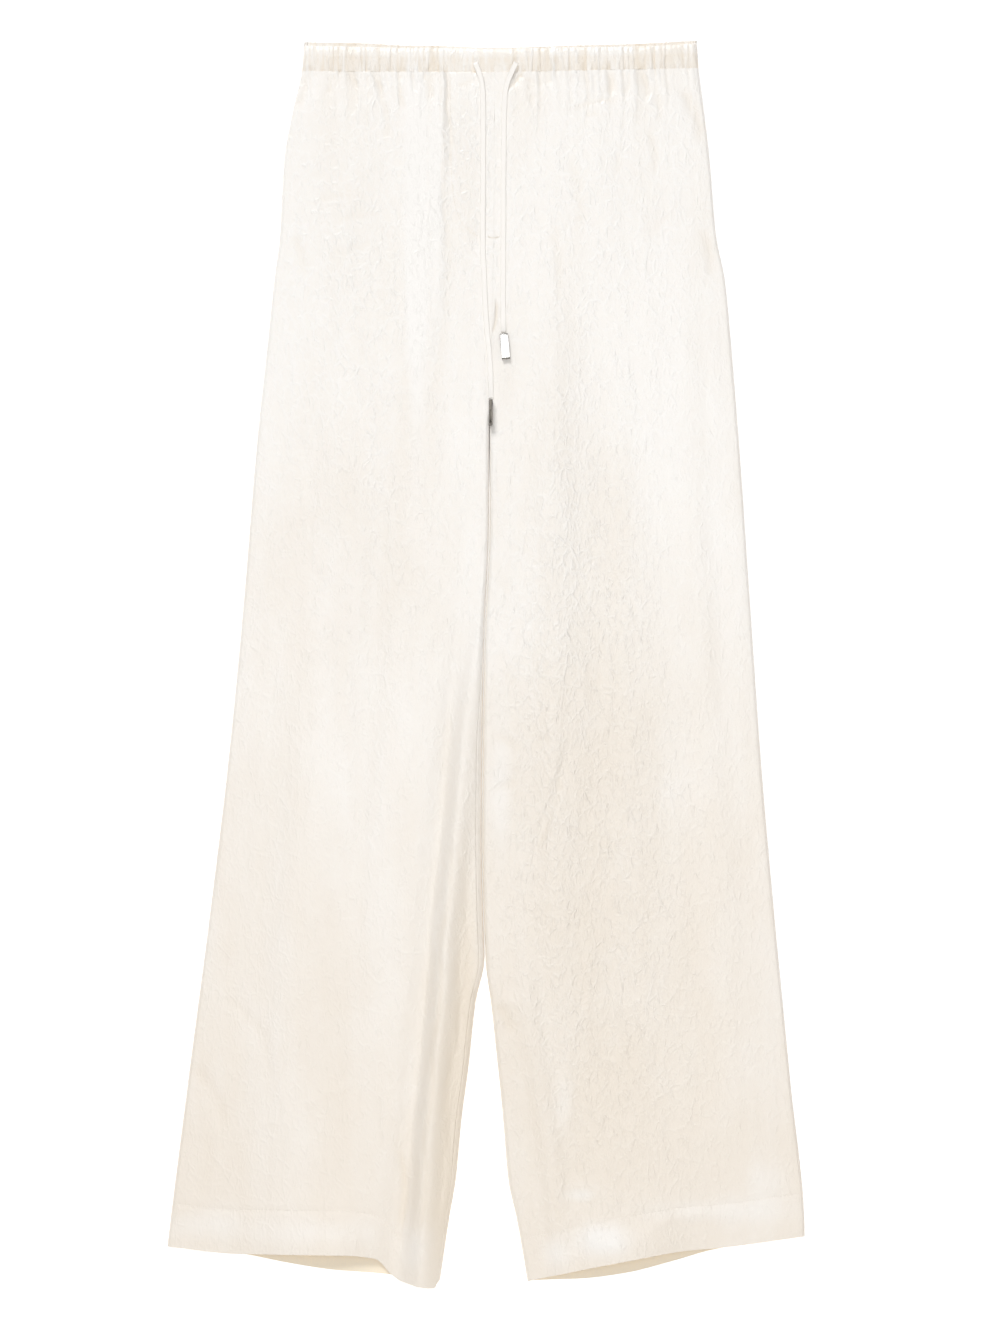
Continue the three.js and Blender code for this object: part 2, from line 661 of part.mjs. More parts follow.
for (const leg of [RIGHT, LEFT]) {
  piece(`front_${leg.side}`, panelGeometry(ROWS.map((row) => frontRow(leg, row))), CLOTH_FINISH);
  piece(`back_${leg.side}`, panelGeometry(ROWS.map((row) => backRow(leg, row))), CLOTH_FINISH);
}
piece('waistband_front', bandHalf(true), CLOTH_FINISH);
piece('waistband_back', bandHalf(false), CLOTH_FINISH);
piece('fly', flyGeometry(), CLOTH_FINISH);
piece('drawstring_right', cordGeometry(CORD_RIGHT), CORD_FINISH);
piece('drawstring_left', cordGeometry(CORD_LEFT), CORD_FINISH);
piece('tip_right', tipGeometry(TIP_THIN, TIP_BROAD, 0, { x: 4.3, down: 343, z: 10.1 }), METAL_FINISH);
piece('tip_left', tipGeometry(TIP_BROAD, TIP_THIN, 0.09, { x: 17.4, down: 282, z: 8.45 }), METAL_FINISH);

export default trousers;
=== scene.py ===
"""Wide-leg drawstring trousers in crinkled ivory satin, laid flat with the front up.

Lengths in the tables are millimetres and become metres when a mesh is made. "down" is
the distance from the top of the waistband towards the hems, and X grows towards the
wearer's left leg.
"""

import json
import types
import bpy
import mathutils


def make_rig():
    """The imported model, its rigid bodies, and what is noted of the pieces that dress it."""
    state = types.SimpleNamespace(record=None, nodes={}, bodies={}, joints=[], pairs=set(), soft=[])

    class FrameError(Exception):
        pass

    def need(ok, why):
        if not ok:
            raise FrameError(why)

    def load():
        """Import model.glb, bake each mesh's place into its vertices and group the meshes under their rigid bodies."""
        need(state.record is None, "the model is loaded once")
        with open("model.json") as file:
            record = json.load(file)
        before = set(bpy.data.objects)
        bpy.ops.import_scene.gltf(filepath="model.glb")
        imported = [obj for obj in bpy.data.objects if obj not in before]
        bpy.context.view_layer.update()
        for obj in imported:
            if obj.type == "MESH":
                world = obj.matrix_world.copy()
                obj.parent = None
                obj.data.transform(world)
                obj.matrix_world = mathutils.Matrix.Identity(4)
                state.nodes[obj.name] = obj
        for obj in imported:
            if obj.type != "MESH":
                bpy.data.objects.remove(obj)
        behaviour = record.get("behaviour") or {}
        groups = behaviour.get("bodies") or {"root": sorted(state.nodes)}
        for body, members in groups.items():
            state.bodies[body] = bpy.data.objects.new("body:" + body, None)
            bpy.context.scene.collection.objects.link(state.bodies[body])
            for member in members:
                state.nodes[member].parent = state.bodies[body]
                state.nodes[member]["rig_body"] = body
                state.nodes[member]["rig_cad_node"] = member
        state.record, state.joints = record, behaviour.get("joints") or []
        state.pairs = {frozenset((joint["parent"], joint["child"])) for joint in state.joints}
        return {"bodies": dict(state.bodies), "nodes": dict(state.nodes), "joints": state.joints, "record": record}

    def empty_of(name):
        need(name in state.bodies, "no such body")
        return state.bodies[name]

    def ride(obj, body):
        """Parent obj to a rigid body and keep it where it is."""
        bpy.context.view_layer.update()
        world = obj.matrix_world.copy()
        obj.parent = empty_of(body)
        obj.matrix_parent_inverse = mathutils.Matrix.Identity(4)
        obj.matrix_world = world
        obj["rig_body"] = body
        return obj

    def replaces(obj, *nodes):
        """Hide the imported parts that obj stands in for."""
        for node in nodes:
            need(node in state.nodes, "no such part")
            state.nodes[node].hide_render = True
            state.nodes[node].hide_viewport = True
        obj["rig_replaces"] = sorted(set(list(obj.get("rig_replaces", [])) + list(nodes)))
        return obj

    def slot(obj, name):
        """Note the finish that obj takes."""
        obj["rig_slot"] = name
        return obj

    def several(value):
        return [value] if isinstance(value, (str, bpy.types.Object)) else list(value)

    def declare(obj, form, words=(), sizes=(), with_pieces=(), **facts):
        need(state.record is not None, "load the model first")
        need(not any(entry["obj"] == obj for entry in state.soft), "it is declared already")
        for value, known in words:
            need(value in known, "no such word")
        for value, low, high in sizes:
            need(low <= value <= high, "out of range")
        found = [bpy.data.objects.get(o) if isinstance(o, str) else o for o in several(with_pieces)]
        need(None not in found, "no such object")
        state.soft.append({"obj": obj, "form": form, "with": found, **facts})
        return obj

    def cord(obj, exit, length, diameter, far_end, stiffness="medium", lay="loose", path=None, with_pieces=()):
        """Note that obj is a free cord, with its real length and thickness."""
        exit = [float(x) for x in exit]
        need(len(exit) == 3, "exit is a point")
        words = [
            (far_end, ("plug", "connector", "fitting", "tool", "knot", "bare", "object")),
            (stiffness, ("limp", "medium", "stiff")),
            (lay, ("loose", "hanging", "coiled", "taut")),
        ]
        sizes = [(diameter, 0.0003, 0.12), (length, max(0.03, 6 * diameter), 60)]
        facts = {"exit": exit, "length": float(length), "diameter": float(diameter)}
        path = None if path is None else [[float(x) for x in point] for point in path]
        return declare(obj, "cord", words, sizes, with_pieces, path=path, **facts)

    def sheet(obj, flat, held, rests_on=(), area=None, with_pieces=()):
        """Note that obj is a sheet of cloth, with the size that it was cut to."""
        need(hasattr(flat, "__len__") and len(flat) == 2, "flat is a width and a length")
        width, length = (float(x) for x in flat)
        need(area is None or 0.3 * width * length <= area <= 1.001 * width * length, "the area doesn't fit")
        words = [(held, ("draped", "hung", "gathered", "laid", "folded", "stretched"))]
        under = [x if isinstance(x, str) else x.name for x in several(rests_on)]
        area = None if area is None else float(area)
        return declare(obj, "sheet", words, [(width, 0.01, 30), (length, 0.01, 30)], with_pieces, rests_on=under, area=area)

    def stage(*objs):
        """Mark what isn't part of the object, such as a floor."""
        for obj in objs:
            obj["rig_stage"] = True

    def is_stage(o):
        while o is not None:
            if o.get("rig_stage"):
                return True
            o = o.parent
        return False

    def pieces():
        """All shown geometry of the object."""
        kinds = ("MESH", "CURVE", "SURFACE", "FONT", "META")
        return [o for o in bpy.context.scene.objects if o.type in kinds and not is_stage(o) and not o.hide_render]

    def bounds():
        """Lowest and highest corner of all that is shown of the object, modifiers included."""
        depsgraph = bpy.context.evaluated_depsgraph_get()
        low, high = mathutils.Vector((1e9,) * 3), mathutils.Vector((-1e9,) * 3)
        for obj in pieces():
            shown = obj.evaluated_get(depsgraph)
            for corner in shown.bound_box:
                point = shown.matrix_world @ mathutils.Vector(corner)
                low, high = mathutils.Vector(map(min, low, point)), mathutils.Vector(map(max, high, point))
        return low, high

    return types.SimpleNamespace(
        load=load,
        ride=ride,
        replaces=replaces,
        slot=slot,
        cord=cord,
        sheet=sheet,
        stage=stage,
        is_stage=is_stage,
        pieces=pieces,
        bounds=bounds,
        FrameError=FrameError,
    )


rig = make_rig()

bl_info = {
    "name": "Satin Drawstring Trousers",
    "version": (1, 0, 0),
    "blender": (4, 5, 0),
    "location": "View3D > Sidebar > Trousers",
    "description": "Builds a pair of wide-leg drawstring trousers in crinkled satin",
    "category": "Add Mesh",
}

import json
import math

import bmesh
import bpy
import numpy as np
from mathutils import Vector

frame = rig.load()
cad_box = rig.bounds()

MM = 0.001

# Sizes of the garment, and how far down it things are
LENGTH = 1148.0
BAND_SEAM = 28.3
CENTRE_SEAM_END = 338.0
CROTCH = 356.0
HEM_ROW = 1110.0
HEM_TURN = 40.0
HEM_THICKER = 1.7
INNER_CORNER = 1141.0
INNER_CORNER_ASIDE = 40.15
# The gap in a seam, the height of the side seams, and the rise and roll of the edges
SEAM = 0.12
EDGE_MIDDLE = 2.6
TOP_RISE = 3.4
SIDE_ROLL = 3.0
# How much wider apart the backs' rows of points are than the fronts'
BACK_SPACING = 2.6
# The casing's whole height and its wall with the elastic
BAND_TOP = 7.6
BAND_WALL = 3.4
FLY_WALL = 0.3
CORD_WIDTH = 5.0
CORD_WALL = 0.85
TIP_LONG = 23.6
TIP_BROAD = 7.4
TIP_THIN = 3.4
# The camera's picture: a pixel's size on the garment, and the pixel over its middle
PIXEL = 0.92
IMAGE_SIZE = (1000, 1334)
GARMENT_MIDDLE = (486, 664)
CAMERA_HEIGHT = 3.2
SENSOR = 36
# The surface's own light, in the open and in the slot between the legs, in metres
GLOW = 0.4
SLOT_GLOW = 0.75
SLOT_ASIDE = 0.02
SLOT_TOP = 0.5
SLOT_FOOT = -0.27


def table(names, rows):
    """A table with named columns, each a numpy array."""
    return dict(zip(names, np.array(rows, float).T))


def read(rows, key, column, at):
    """The column's value where the key is at, on a smooth line through the rows."""
    x, y = rows[key], rows[column]
    at = np.clip(np.asarray(at, float), x[0], x[-1])
    i = np.clip(np.searchsorted(x, at, side="right") - 1, 0, len(x) - 2)
    slope = np.diff(y) / np.diff(x)
    tangent = np.empty_like(y)
    tangent[0], tangent[-1] = slope[0], slope[-1]
    before, after = slope[:-1], slope[1:]
    both = before * after
    tangent[1:-1] = np.where(both > 0, 2 * both / np.where(both > 0, before + after, 1), 0)
    span = x[i + 1] - x[i]
    t = (at - x[i]) / span
    start = (1 + 2 * t) * (1 - t) ** 2 * y[i] + t * (1 - t) ** 2 * span * tangent[i]
    end = t * t * (3 - 2 * t) * y[i + 1] - t * t * (1 - t) * span * tangent[i + 1]
    return start + end


def smooth(at, low, high):
    """0 below the low end and 1 above the high one, with a soft step between them."""
    t = np.clip((np.asarray(at, float) - low) / (high - low), 0, 1)
    return t * t * (3 - 2 * t)


# Side edges, seen from above
OUTLINE = table(("down", "right", "left"), [
    (4, -167, 194), (30, -170, 196), (60, -177, 200), (110, -186, 206), (180, -190, 212),
    (220, -195, 220), (295, -203, 227), (370, -211, 233), (515, -223, 243), (660, -237, 253),
    (810, -255, 266), (955, -274, 280), (1100.6, -292.4, 293.5), (1110, -293.5, 293.5),
])
# Centre seam above the crotch, then the line between the two inner legs
CENTRE = table(("down", "middle", "gap"), [
    (28, 8, 0.3), (180, 7, 0.3), (338, 3.5, 0.3), (356, 3.1, 0.6), (441, 3.1, 1),
    (552, -1.4, 0.8), (662, -3.2, 0.7), (736, -3.7, 0.7), (810, -2.3, 0.7), (846, -0.9, 1.2),
    (887, -2.6, 14.4), (941, -2.6, 26), (994, -3.4, 38.3), (1049, -3.7, 48.3),
    (1084, -2.9, 61.8), (1141, -2.1, 80.3),
])
# Height of the front's face over the floor, away from its folds
LIE = table(("down", "top"), [
    (28, 6.2), (70, 7.6), (180, 6.6), (356, 6), (700, 6), (1000, 6.2), (1148, 6.4),
])
# Waistband edges and the seam under it
BAND = table(("x", "top", "back_top", "seam"), [
    (-170, 4.8, 1.2, 28.3), (-153, 5.2, 1.4, 28.4), (-116, 6, 2, 28.7), (-79, 6.9, 4.1, 28.8),
    (-42, 6.9, 4.7, 28.9), (10, 8, 6.5, 29), (50, 6.9, 5.3, 28.4), (86, 6.3, 4.1, 27.8),
    (123, 6, 3.2, 27.2), (160, 5, 1.8, 26.5), (183, 3.6, 0.3, 26), (196, 2.6, 0, 25.8),
])
# Hem lines, from the outer corner (across 0) to the inner one (across 1)
HEMS = {
    ("right", "front"): table(("across", "down"), [
        (0, 1110), (0.27, 1116.6), (0.44, 1116.6), (0.64, 1117.2), (0.764, 1121.3),
        (0.818, 1135), (0.859, 1142.4), (0.976, 1148), (1, 1141),
    ]),
    ("right", "back"): table(("across", "down"), [
        (0, 1110), (0.27, 1117.2), (0.44, 1125.5), (0.6, 1131.8), (0.82, 1136.4),
        (0.97, 1148), (1, 1141),
    ]),
    ("left", "front"): table(("across", "down"), [
        (0, 1100.6), (0.3, 1110.9), (0.44, 1114), (0.645, 1122.4), (0.853, 1133.8), (1, 1142),
    ]),
    ("left", "back"): table(("across", "down"), [
        (0, 1100.6), (0.32, 1113), (0.48, 1124.4), (0.645, 1135), (0.81, 1140.2),
        (0.93, 1141.2), (1, 1142),
    ]),
}


def fold(to_less, to_more, rows):
    """A fold's half widths towards -X and +X, and its path down the cloth."""
    return to_less, to_more, table(("down", "x", "rise"), rows)


FOLDS = {
    "right": [
        fold(100, 62, [(950, -150, 0), (1050, -150, 1.8), (1085, -150, 4), (1108, -150, 7),
                       (1140, -150, 8.6)]),
        fold(24, 13, [(330, -8, 0), (480, -10, -1.2), (570, -21, -2), (640, -31, -2.4),
                      (780, -45, -2.4), (887, -56, -2.4), (1010, -69, -2.4), (1148, -84, -2.6)]),
        fold(15, 22, [(420, -9, 0), (570, -17, 1.6), (644, -22, 3.2), (725, -28, 4.6),
                      (811, -37, 5.6), (913, -44, 6.4), (994, -52, 6.6), (1148, -61, 5.4)]),
        fold(12, 8, [(28, -42, 0.8), (80, -41.5, 1.2), (180, -42, 0.4), (300, -42, 0.2),
                     (400, -42, 0)]),
        fold(4, 9, [(28, -35.5, -0.4), (60, -35.5, -0.6), (120, -34.5, -0.4), (190, -34, 0)]),
        fold(30, 36, [(60, -120, 0), (160, -126, 1.2), (330, -134, 0.8), (480, -140, 0)]),
        fold(42, 46, [(480, -150, 0), (700, -164, 1.6), (900, -180, 1.5), (1080, -200, 0)]),
        fold(18, 22, [(300, -88, 0), (480, -98, -1), (700, -112, -1.1), (900, -124, 0)]),
    ],
    "left": [
        fold(74, 78, [(950, 128, 0), (1050, 128, 1.6), (1085, 128, 3.6), (1110, 128, 7.2),
                      (1140, 128, 8.6)]),
        fold(28, 30, [(200, 100, 0), (400, 102, -1.1), (800, 112, -1.2), (1020, 122, 0)]),
        fold(20, 26, [(180, 56, 0), (320, 58, 1.8), (620, 62, 2), (860, 66, 1.4), (980, 70, 0)]),
        fold(30, 26, [(260, 176, 0), (460, 190, 0.7), (800, 214, 0.8), (1040, 236, 0)]),
        fold(9, 9, [(640, 76, 0), (672, 70, -1.4), (720, 54, -1.6), (760, 42, 0)]),
        fold(16, 18, [(800, 34, 0), (900, 40, 2), (1020, 58, 2.4), (1148, 72, 1.6)]),
    ],
}
# How far each inner edge rolls over, and how far its inseam turns up onto the top
INNER = {
    "right": table(("down", "roll", "turn"), [
        (356, 4, 0), (560, 6, 36), (660, 8, 70), (1000, 8, 72), (1110, 7, 60),
    ]),
    "left": table(("down", "roll", "turn"), [(356, 4, 0), (700, 4, 0), (1110, 4.5, 0)]),
}
WAYS = {"right": 1.0, "left": -1.0}

# Creases, listed one by one: start and end (x, down), half width, and rise, which is negative for a trough
CREASES = table(("x0", "down0", "x1", "down1", "wide", "rise"), [
    # The right hip, under the waistband
    (-105, 29, -95, 52, 2.6, -0.9), (-95, 52, -91, 92, 3, -0.6),
    (-56, 29, -51, 56, 3.2, -1.1), (-81, 44, -76, 64, 2.6, -0.7),
    (-126, 30, -118, 46, 2.4, -0.7), (-142, 30, -145, 50, 2.6, -0.6),
    (-165, 34, -174, 62, 3.4, -0.9), (-68, 29, -66, 48, 2.4, -0.7),
    (-62, 60, -60, 320, 6, 0.8), (-52, 70, -50, 340, 5, -0.5),
    (-37, 28, -36.6, 62, 1.5, -1.2), (-36.6, 60, -33.5, 112, 1.3, -1.1),
    (-24, 172, -6, 182, 2.6, -0.5), (-26, 164, -14, 190, 2.4, 0.5),
    (-160, 150, -120, 142, 3, -0.35), (-140, 168, -100, 160, 3, -0.35),
    (-176, 180, -168, 214, 4, -0.5), (-150, 200, -96, 190, 3.4, -0.3),
    # The places where the drawstrings come out
    (36, 25, 20.5, 45, 2.1, -1.3), (-11.5, 28, -4.5, 32.5, 1.6, -1.2), (30, 32, 44, 40, 2, -0.7),
    (-10, 36, -26, 42, 2, -0.6), (-9, 46, -30, 43, 1.8, 0.2),
    # The left hip
    (115, 30, 114, 50, 3.8, -1), (79, 64, 120, 55, 2.4, -0.7),
    (129, 29, 129, 52, 2.4, -0.7), (143, 29, 150, 54, 2.6, -0.8),
    (155, 42, 160, 74, 3, -0.7), (180, 44, 199, 92, 5, -1),
    (149, 82, 156, 120, 3, -0.7), (122, 96, 121, 124, 2.4, -0.5),
    (79, 110, 86, 176, 5, -0.5), (92, 70, 104, 68, 2.4, -0.5),
    (30, 50, 66, 36, 2, -0.35), (26, 66, 52, 50, 2, -0.3),
    (62, 170, 66, 240, 4, -0.45), (200, 176, 207, 214, 4.5, -0.7),
    (34, 34, 42, 60, 2.6, -0.5), (176, 150, 150, 176, 4, -0.3),
    (9.2, 240, 6.4, 268, 1.3, -1.6),
    # The inner edges, between the crotch and the knee
    (8, 640, 30, 652, 4, -0.7), (6, 664, 34, 668, 4.4, 0.7), (8, 690, 28, 684, 4, -0.6),
    (10, 706, 36, 714, 4, 0.5), (6, 480, 20, 510, 4, -0.4), (8, 560, 26, 600, 5, -0.4),
    (70, 672, 44, 749, 2.6, -0.6), (10, 888, 24, 912, 5, -1.4), (16, 884, 40, 890, 5, 0.6),
    # The lower right leg
    (-267, 946, -242, 994, 6, -0.7), (-190, 964, -184, 1030, 3, 0.45),
    (-166, 981, -124, 963, 3, 0.4), (-226, 1006, -186, 994, 3, 0.4),
    (-238, 880, -206, 922, 4, -0.4), (-256, 1010, -262, 1064, 6, -0.5),
    (-79, 1020, -80, 1100, 2.6, -0.9), (-210, 900, -200, 960, 5, -0.4),
    # The crest and the slope inside the right knee
    (-37, 725, -49, 811, 3, 0.7), (-49, 811, -56, 914, 3, 0.7), (-56, 914, -64, 1000, 3, 0.6),
    (-64, 1000, -72, 1120, 3.4, 0.7), (-33, 740, -44, 830, 2.4, -0.7),
    (-44, 830, -51, 930, 2.4, -0.8), (-51, 930, -58, 1012, 2.4, -0.8),
    (-58, 1012, -66, 1108, 2.6, -0.7), (-22, 800, -30, 900, 2.4, 0.6),
    (-30, 900, -38, 1000, 2.4, 0.6), (-38, 1000, -46, 1100, 2.6, 0.7),
    (-26, 850, -36, 960, 2, -0.5), (-96, 960, -104, 1080, 4, 0.5),
    # The hems' puffed bands and the lower left leg
    (92, 1102, 128, 1112, 7, 1.7), (150, 1090, 226, 1082, 6, 1.3),
    (-79, 1094, -52, 1106, 5, 0.9), (60, 1060, 66, 1096, 3, -0.6),
    (110, 1012, 141, 996, 2.8, 0.6), (156, 858, 178, 882, 3, 0.5), (80, 880, 72, 950, 3.6, 0.5),
    (96, 832, 90, 902, 3.6, 0.45), (70, 952, 74, 1002, 6, 1.1), (80, 1052, 104, 1066, 5, 1.2),
    (240, 1040, 262, 1062, 6, 0.6), (116, 900, 140, 884, 3, 0.45), (60, 700, 52, 790, 4, 0.4),
    (120, 720, 112, 800, 4, 0.4), (140, 640, 128, 700, 4, 0.35), (88, 560, 80, 640, 4, 0.4),
])
# Where the crinkle is strongest: middle (x, down), half widths, and strength
CRINKLED = table(("x", "down", "wide", "long", "strength"), [
    (88, 600, 62, 260, 0.9), (110, 900, 100, 240, 0.55), (-120, 160, 100, 150, 0.45),
    (100, 150, 110, 150, 0.3), (-110, 420, 90, 160, 0.35), (-15, 110, 30, 100, 0.35),
])
# Painted shade on the satin, on its slopes and in its folds: middle (x, down), half widths, and strength, which is
# negative for a painted highlight where it looks palest
PAINTED_SHADE = table(("x", "down", "wide", "long", "strength"), [
    (110, 900, 70, 260, 0.24), (90, 560, 50, 200, 0.1), (-40, 960, 22, 200, 0.25),
    (-90, 1010, 26, 120, 0.12), (60, 330, 34, 90, 0.08), (-110, 330, 44, 120, 0.06),
    (190, 840, 26, 200, 0.06), (-20, 140, 14, 90, 0.12), (200, 170, 14, 60, 0.14),
    (-17, 880, 14, 130, 0.8), (-30, 1020, 17, 110, 0.8), (-46, 1100, 20, 60, 0.4),
    (108, 1103, 26, 17, -1.3), (66, 1116, 14, 13, -0.5), (212, 1077, 84, 13, -0.55),
    (72, 978, 9, 34, -0.35), (89, 1062, 16, 8, -0.9), (-62, 1112, 14, 22, -0.5),
    (-264, 1090, 44, 16, -0.5), (-160, 1096, 60, 12, -0.3), (256, 1052, 18, 20, -0.4),
    (-64, 190, 7, 150, -0.5), (-46, 120, 4, 60, -0.5), (12, 690, 10, 60, -0.5),
])

# Gathers of each front: their span across the waist, and their number
GATHERS = {"right": (-165.0, -36.0, 17), "left": (191.0, 24.0, 19)}


# Shape of the cloth
def bump(one, x, down):
    to_less, to_more, path = one
    offset = x - read(path, "down", "x", down)
    reach = np.where(offset < 0, to_less, to_more)
    share = np.minimum(1, np.abs(offset) / reach)
    return read(path, "down", "rise", down) * (1 + np.cos(np.pi * share)) / 2


def height(side, x, down, floor=3.0):
    """The front's face over the floor, with its folds and no finer relief."""
    base = read(LIE, "down", "top", down)
    return np.maximum(sum((bump(one, x, down) for one in FOLDS[side]), base), floor)


def crease_relief(x, down):
    """The creases placed by hand, each slightly bowed and faded out at its ends."""
    total = np.zeros_like(x)
    for x0, down0, x1, down1, wide, rise in zip(*CREASES.values()):
        along_x, along_down = x1 - x0, down1 - down0
        length = math.hypot(along_x, along_down)
        t = ((x - x0) * along_x + (down - down0) * along_down) / length ** 2
        bowed = 0.06 * length * np.sin(np.pi * np.clip(t, 0, 1))
        off = ((x - x0) * along_down - (down - down0) * along_x) / length - bowed
        ends = smooth(t, -0.15, 0.2) * (1 - smooth(t, 0.8, 1.15))
        total += rise * ends * np.exp(-((off / wide) ** 2))
    return total


def regions(rows, x, down, base):
    """The sum of a table's soft round regions, from a base up to 1."""
    total = np.full_like(x, base)
    for mid_x, mid_down, wide, long, strength in zip(*rows.values()):
        total += strength * np.exp(-(((x - mid_x) / wide) ** 2) - ((down - mid_down) / long) ** 2)
    return np.minimum(total, 1)


def crinkle_strength(x, down):
    """How crinkled the satin is at each place, from 0 to 1."""
    return regions(CRINKLED, x, down, 0.36)


def value_noise(x, y, seed):
    """Smooth noise from -1 to 1 with a wavelength of about one unit."""
    cell_x, cell_y = np.floor(x), np.floor(y)
    fx, fy = smooth(x - cell_x, 0, 1), smooth(y - cell_y, 0, 1)

    def corner(dx, dy):
        turned = np.sin((cell_x + dx) * 127.1 + (cell_y + dy) * 311.7 + seed * 74.7) * 43758.5453
        return (turned - np.floor(turned)) * 2 - 1

    low = corner(0, 0) * (1 - fx) + corner(1, 0) * fx
    high = corner(0, 1) * (1 - fx) + corner(1, 1) * fx
    return low * (1 - fy) + high * fy


def crinkle_relief(x, down):
    """Uneven crushed ridges, mostly up and down the cloth."""
    warp_x = 7 * value_noise(x / 34, down / 52, 3)
    warp_down = 12 * value_noise(x / 40, down / 44, 5)
    ridges = 0
    for wide, long, lean, weight, seed in (
        (9, 30, 0.18, 0.30, 11), (13, 40, -0.22, 0.34, 17), (21, 62, 0.08, 0.36, 23),
    ):
        across = (x + warp_x + lean * down) / wide
        ridge = 1 - 2 * np.abs(value_noise(across, (down + warp_down) / long, seed))
        ridges = ridges + weight * ridge
    return ridges


def swell_relief(x, down):
    """Long low bands of light and shade down the legs."""
    lean = x + 0.05 * np.sign(x) * -down
    bands = value_noise(lean / 34, down / 420, 31) + 0.5 * value_noise(lean / 17, down / 260, 37)
    streaks = value_noise(lean / 5.5, down / 150, 43) + value_noise(lean / 3.2, down / 90, 47)
    return bands * smooth(down, 60, 200) + 0.16 * streaks


def gather_turn(side, x):
    """Where a place is in its front's uneven run of gathers, and whether it is in it."""
    start, end, count = GATHERS[side]
    share = (x - start) / (end - start)
    inside = smooth(share, -0.02, 0.03) * (1 - smooth(share, 0.97, 1.03))
    turn = share * count
    turn = turn + 0.5 * value_noise(0.8 * turn, 0 * turn, 41) + 0.2 * np.sin(1.9 * turn)
    return inside, turn, np.floor(turn + 0.5)


def gather_relief(side, x, down):
    inside, turn, which = gather_turn(side, x + 1.2 * np.sin(down / 11))
    chance = 0.5 + 0.5 * np.sin(which * 2.4 + 1.3)
    reach = 9 + 38 * chance ** 3
    strength = 0.55 + 0.45 * np.sin(1.7 * which + 1)
    below = np.maximum(0, down - 28.5)
    fade = np.exp(-((below / reach) ** 1.4))
    wave = np.cos(2 * np.pi * turn) + 0.4 * np.cos(4 * np.pi * turn + which)
    broad = 0.4 * np.cos(np.pi * turn + 1.1 * which) * np.exp(-((below / 46) ** 2))
    return inside * (0.8 * strength * fade * wave + broad * chance)


# How much of each kind of relief there is, and the dip at the hem's stitches
DEPTHS = {"crease": 0.8, "crinkle": 0.36, "swell": 0.36, "gather": 1.1, "hem": 0.35}


def fine_relief(side, x, down):
    """Everything finer than the folds, in millimetres."""
    strength = crinkle_strength(x, down)
    return (
        DEPTHS["crease"] * crease_relief(x, down)
        + DEPTHS["crinkle"] * strength * crinkle_relief(x, down)
        + DEPTHS["swell"] * swell_relief(x, down)
        + DEPTHS["gather"] * gather_relief(side, x, down)
        - DEPTHS["hem"] * hem_line(side, x, down)
    )


def hem_line(side, x, down):
    """The dip along the hem's line of stitches, 1 on the line."""
    away = hem_at(side, x) - HEM_TURN - down
    return np.exp(-((away / 1.6) ** 2))


def hem_at(side, x):
    """How far down the front's hem is, at a place across it."""
    hem = HEMS[side, "front"]
    corner = read(OUTLINE, "down", side, hem["down"][0])
    inner = read(CENTRE, "down", "middle", INNER_CORNER) - WAYS[side] * INNER_CORNER_ASIDE
    return read(hem, "across", "down", (x - corner) / (inner - corner))


def seam_angle(roll, rise, angle):
    """The turn along a rolled edge that leaves room for the seam."""
    arc = np.hypot(roll * np.sin(angle), rise * np.cos(angle))
    return 0.65 * SEAM / arc


def rolled(edge, inwards, roll, wall, angle):
    """Where a rolled edge's outside and inside are across the cloth, at each angle."""
    outside = edge + inwards * roll * (1 - np.cos(angle))
    inside = edge + inwards * (roll - (roll - wall) * np.cos(angle))
    return outside, inside


def measure_rows(side, face, rows, wall):
    """Where each row of a panel starts and ends, and how its points lie down the cloth."""
    hem = HEMS[side, face]
    corner, inner_corner = hem["down"][0], hem["down"][-1]
    run = (rows - CROTCH) / (HEM_ROW - CROTCH)
    fall = np.maximum(0, run)
    side_down = np.where(run > 0, CROTCH + run * (corner - CROTCH), rows)

    def down_at(across, x):
        straight = corner + (inner_corner - corner) * across
        bow = read(hem, "across", "down", across) - straight
        fade = 1 - smooth(rows, 28, 110)
        waist = (read(BAND, "x", "seam", x) - BAND_SEAM) * fade
        return side_down + fall * (inner_corner - corner) * across + fall ** 3 * bow + waist

    inner_down = down_at(np.ones_like(rows), np.zeros_like(rows))
    way = WAYS[side]
    closing = smooth(rows, CENTRE_SEAM_END, CROTCH)
    gap = read(CENTRE, "down", "gap", inner_down) * closing + 0.04 * (1 - closing)
    return {
        "down_at": down_at,
        "side_x": read(OUTLINE, "down", side, side_down),
        "inner_x": read(CENTRE, "down", "middle", inner_down) - way * gap / 2,
        "roll": read(INNER[side], "down", "roll", inner_down),
        "turn": np.radians(read(INNER[side], "down", "turn", inner_down)),
        "closing": closing,
        "wall": wall * np.where(rows > HEM_ROW - HEM_TURN, HEM_THICKER, 1.0),
    }


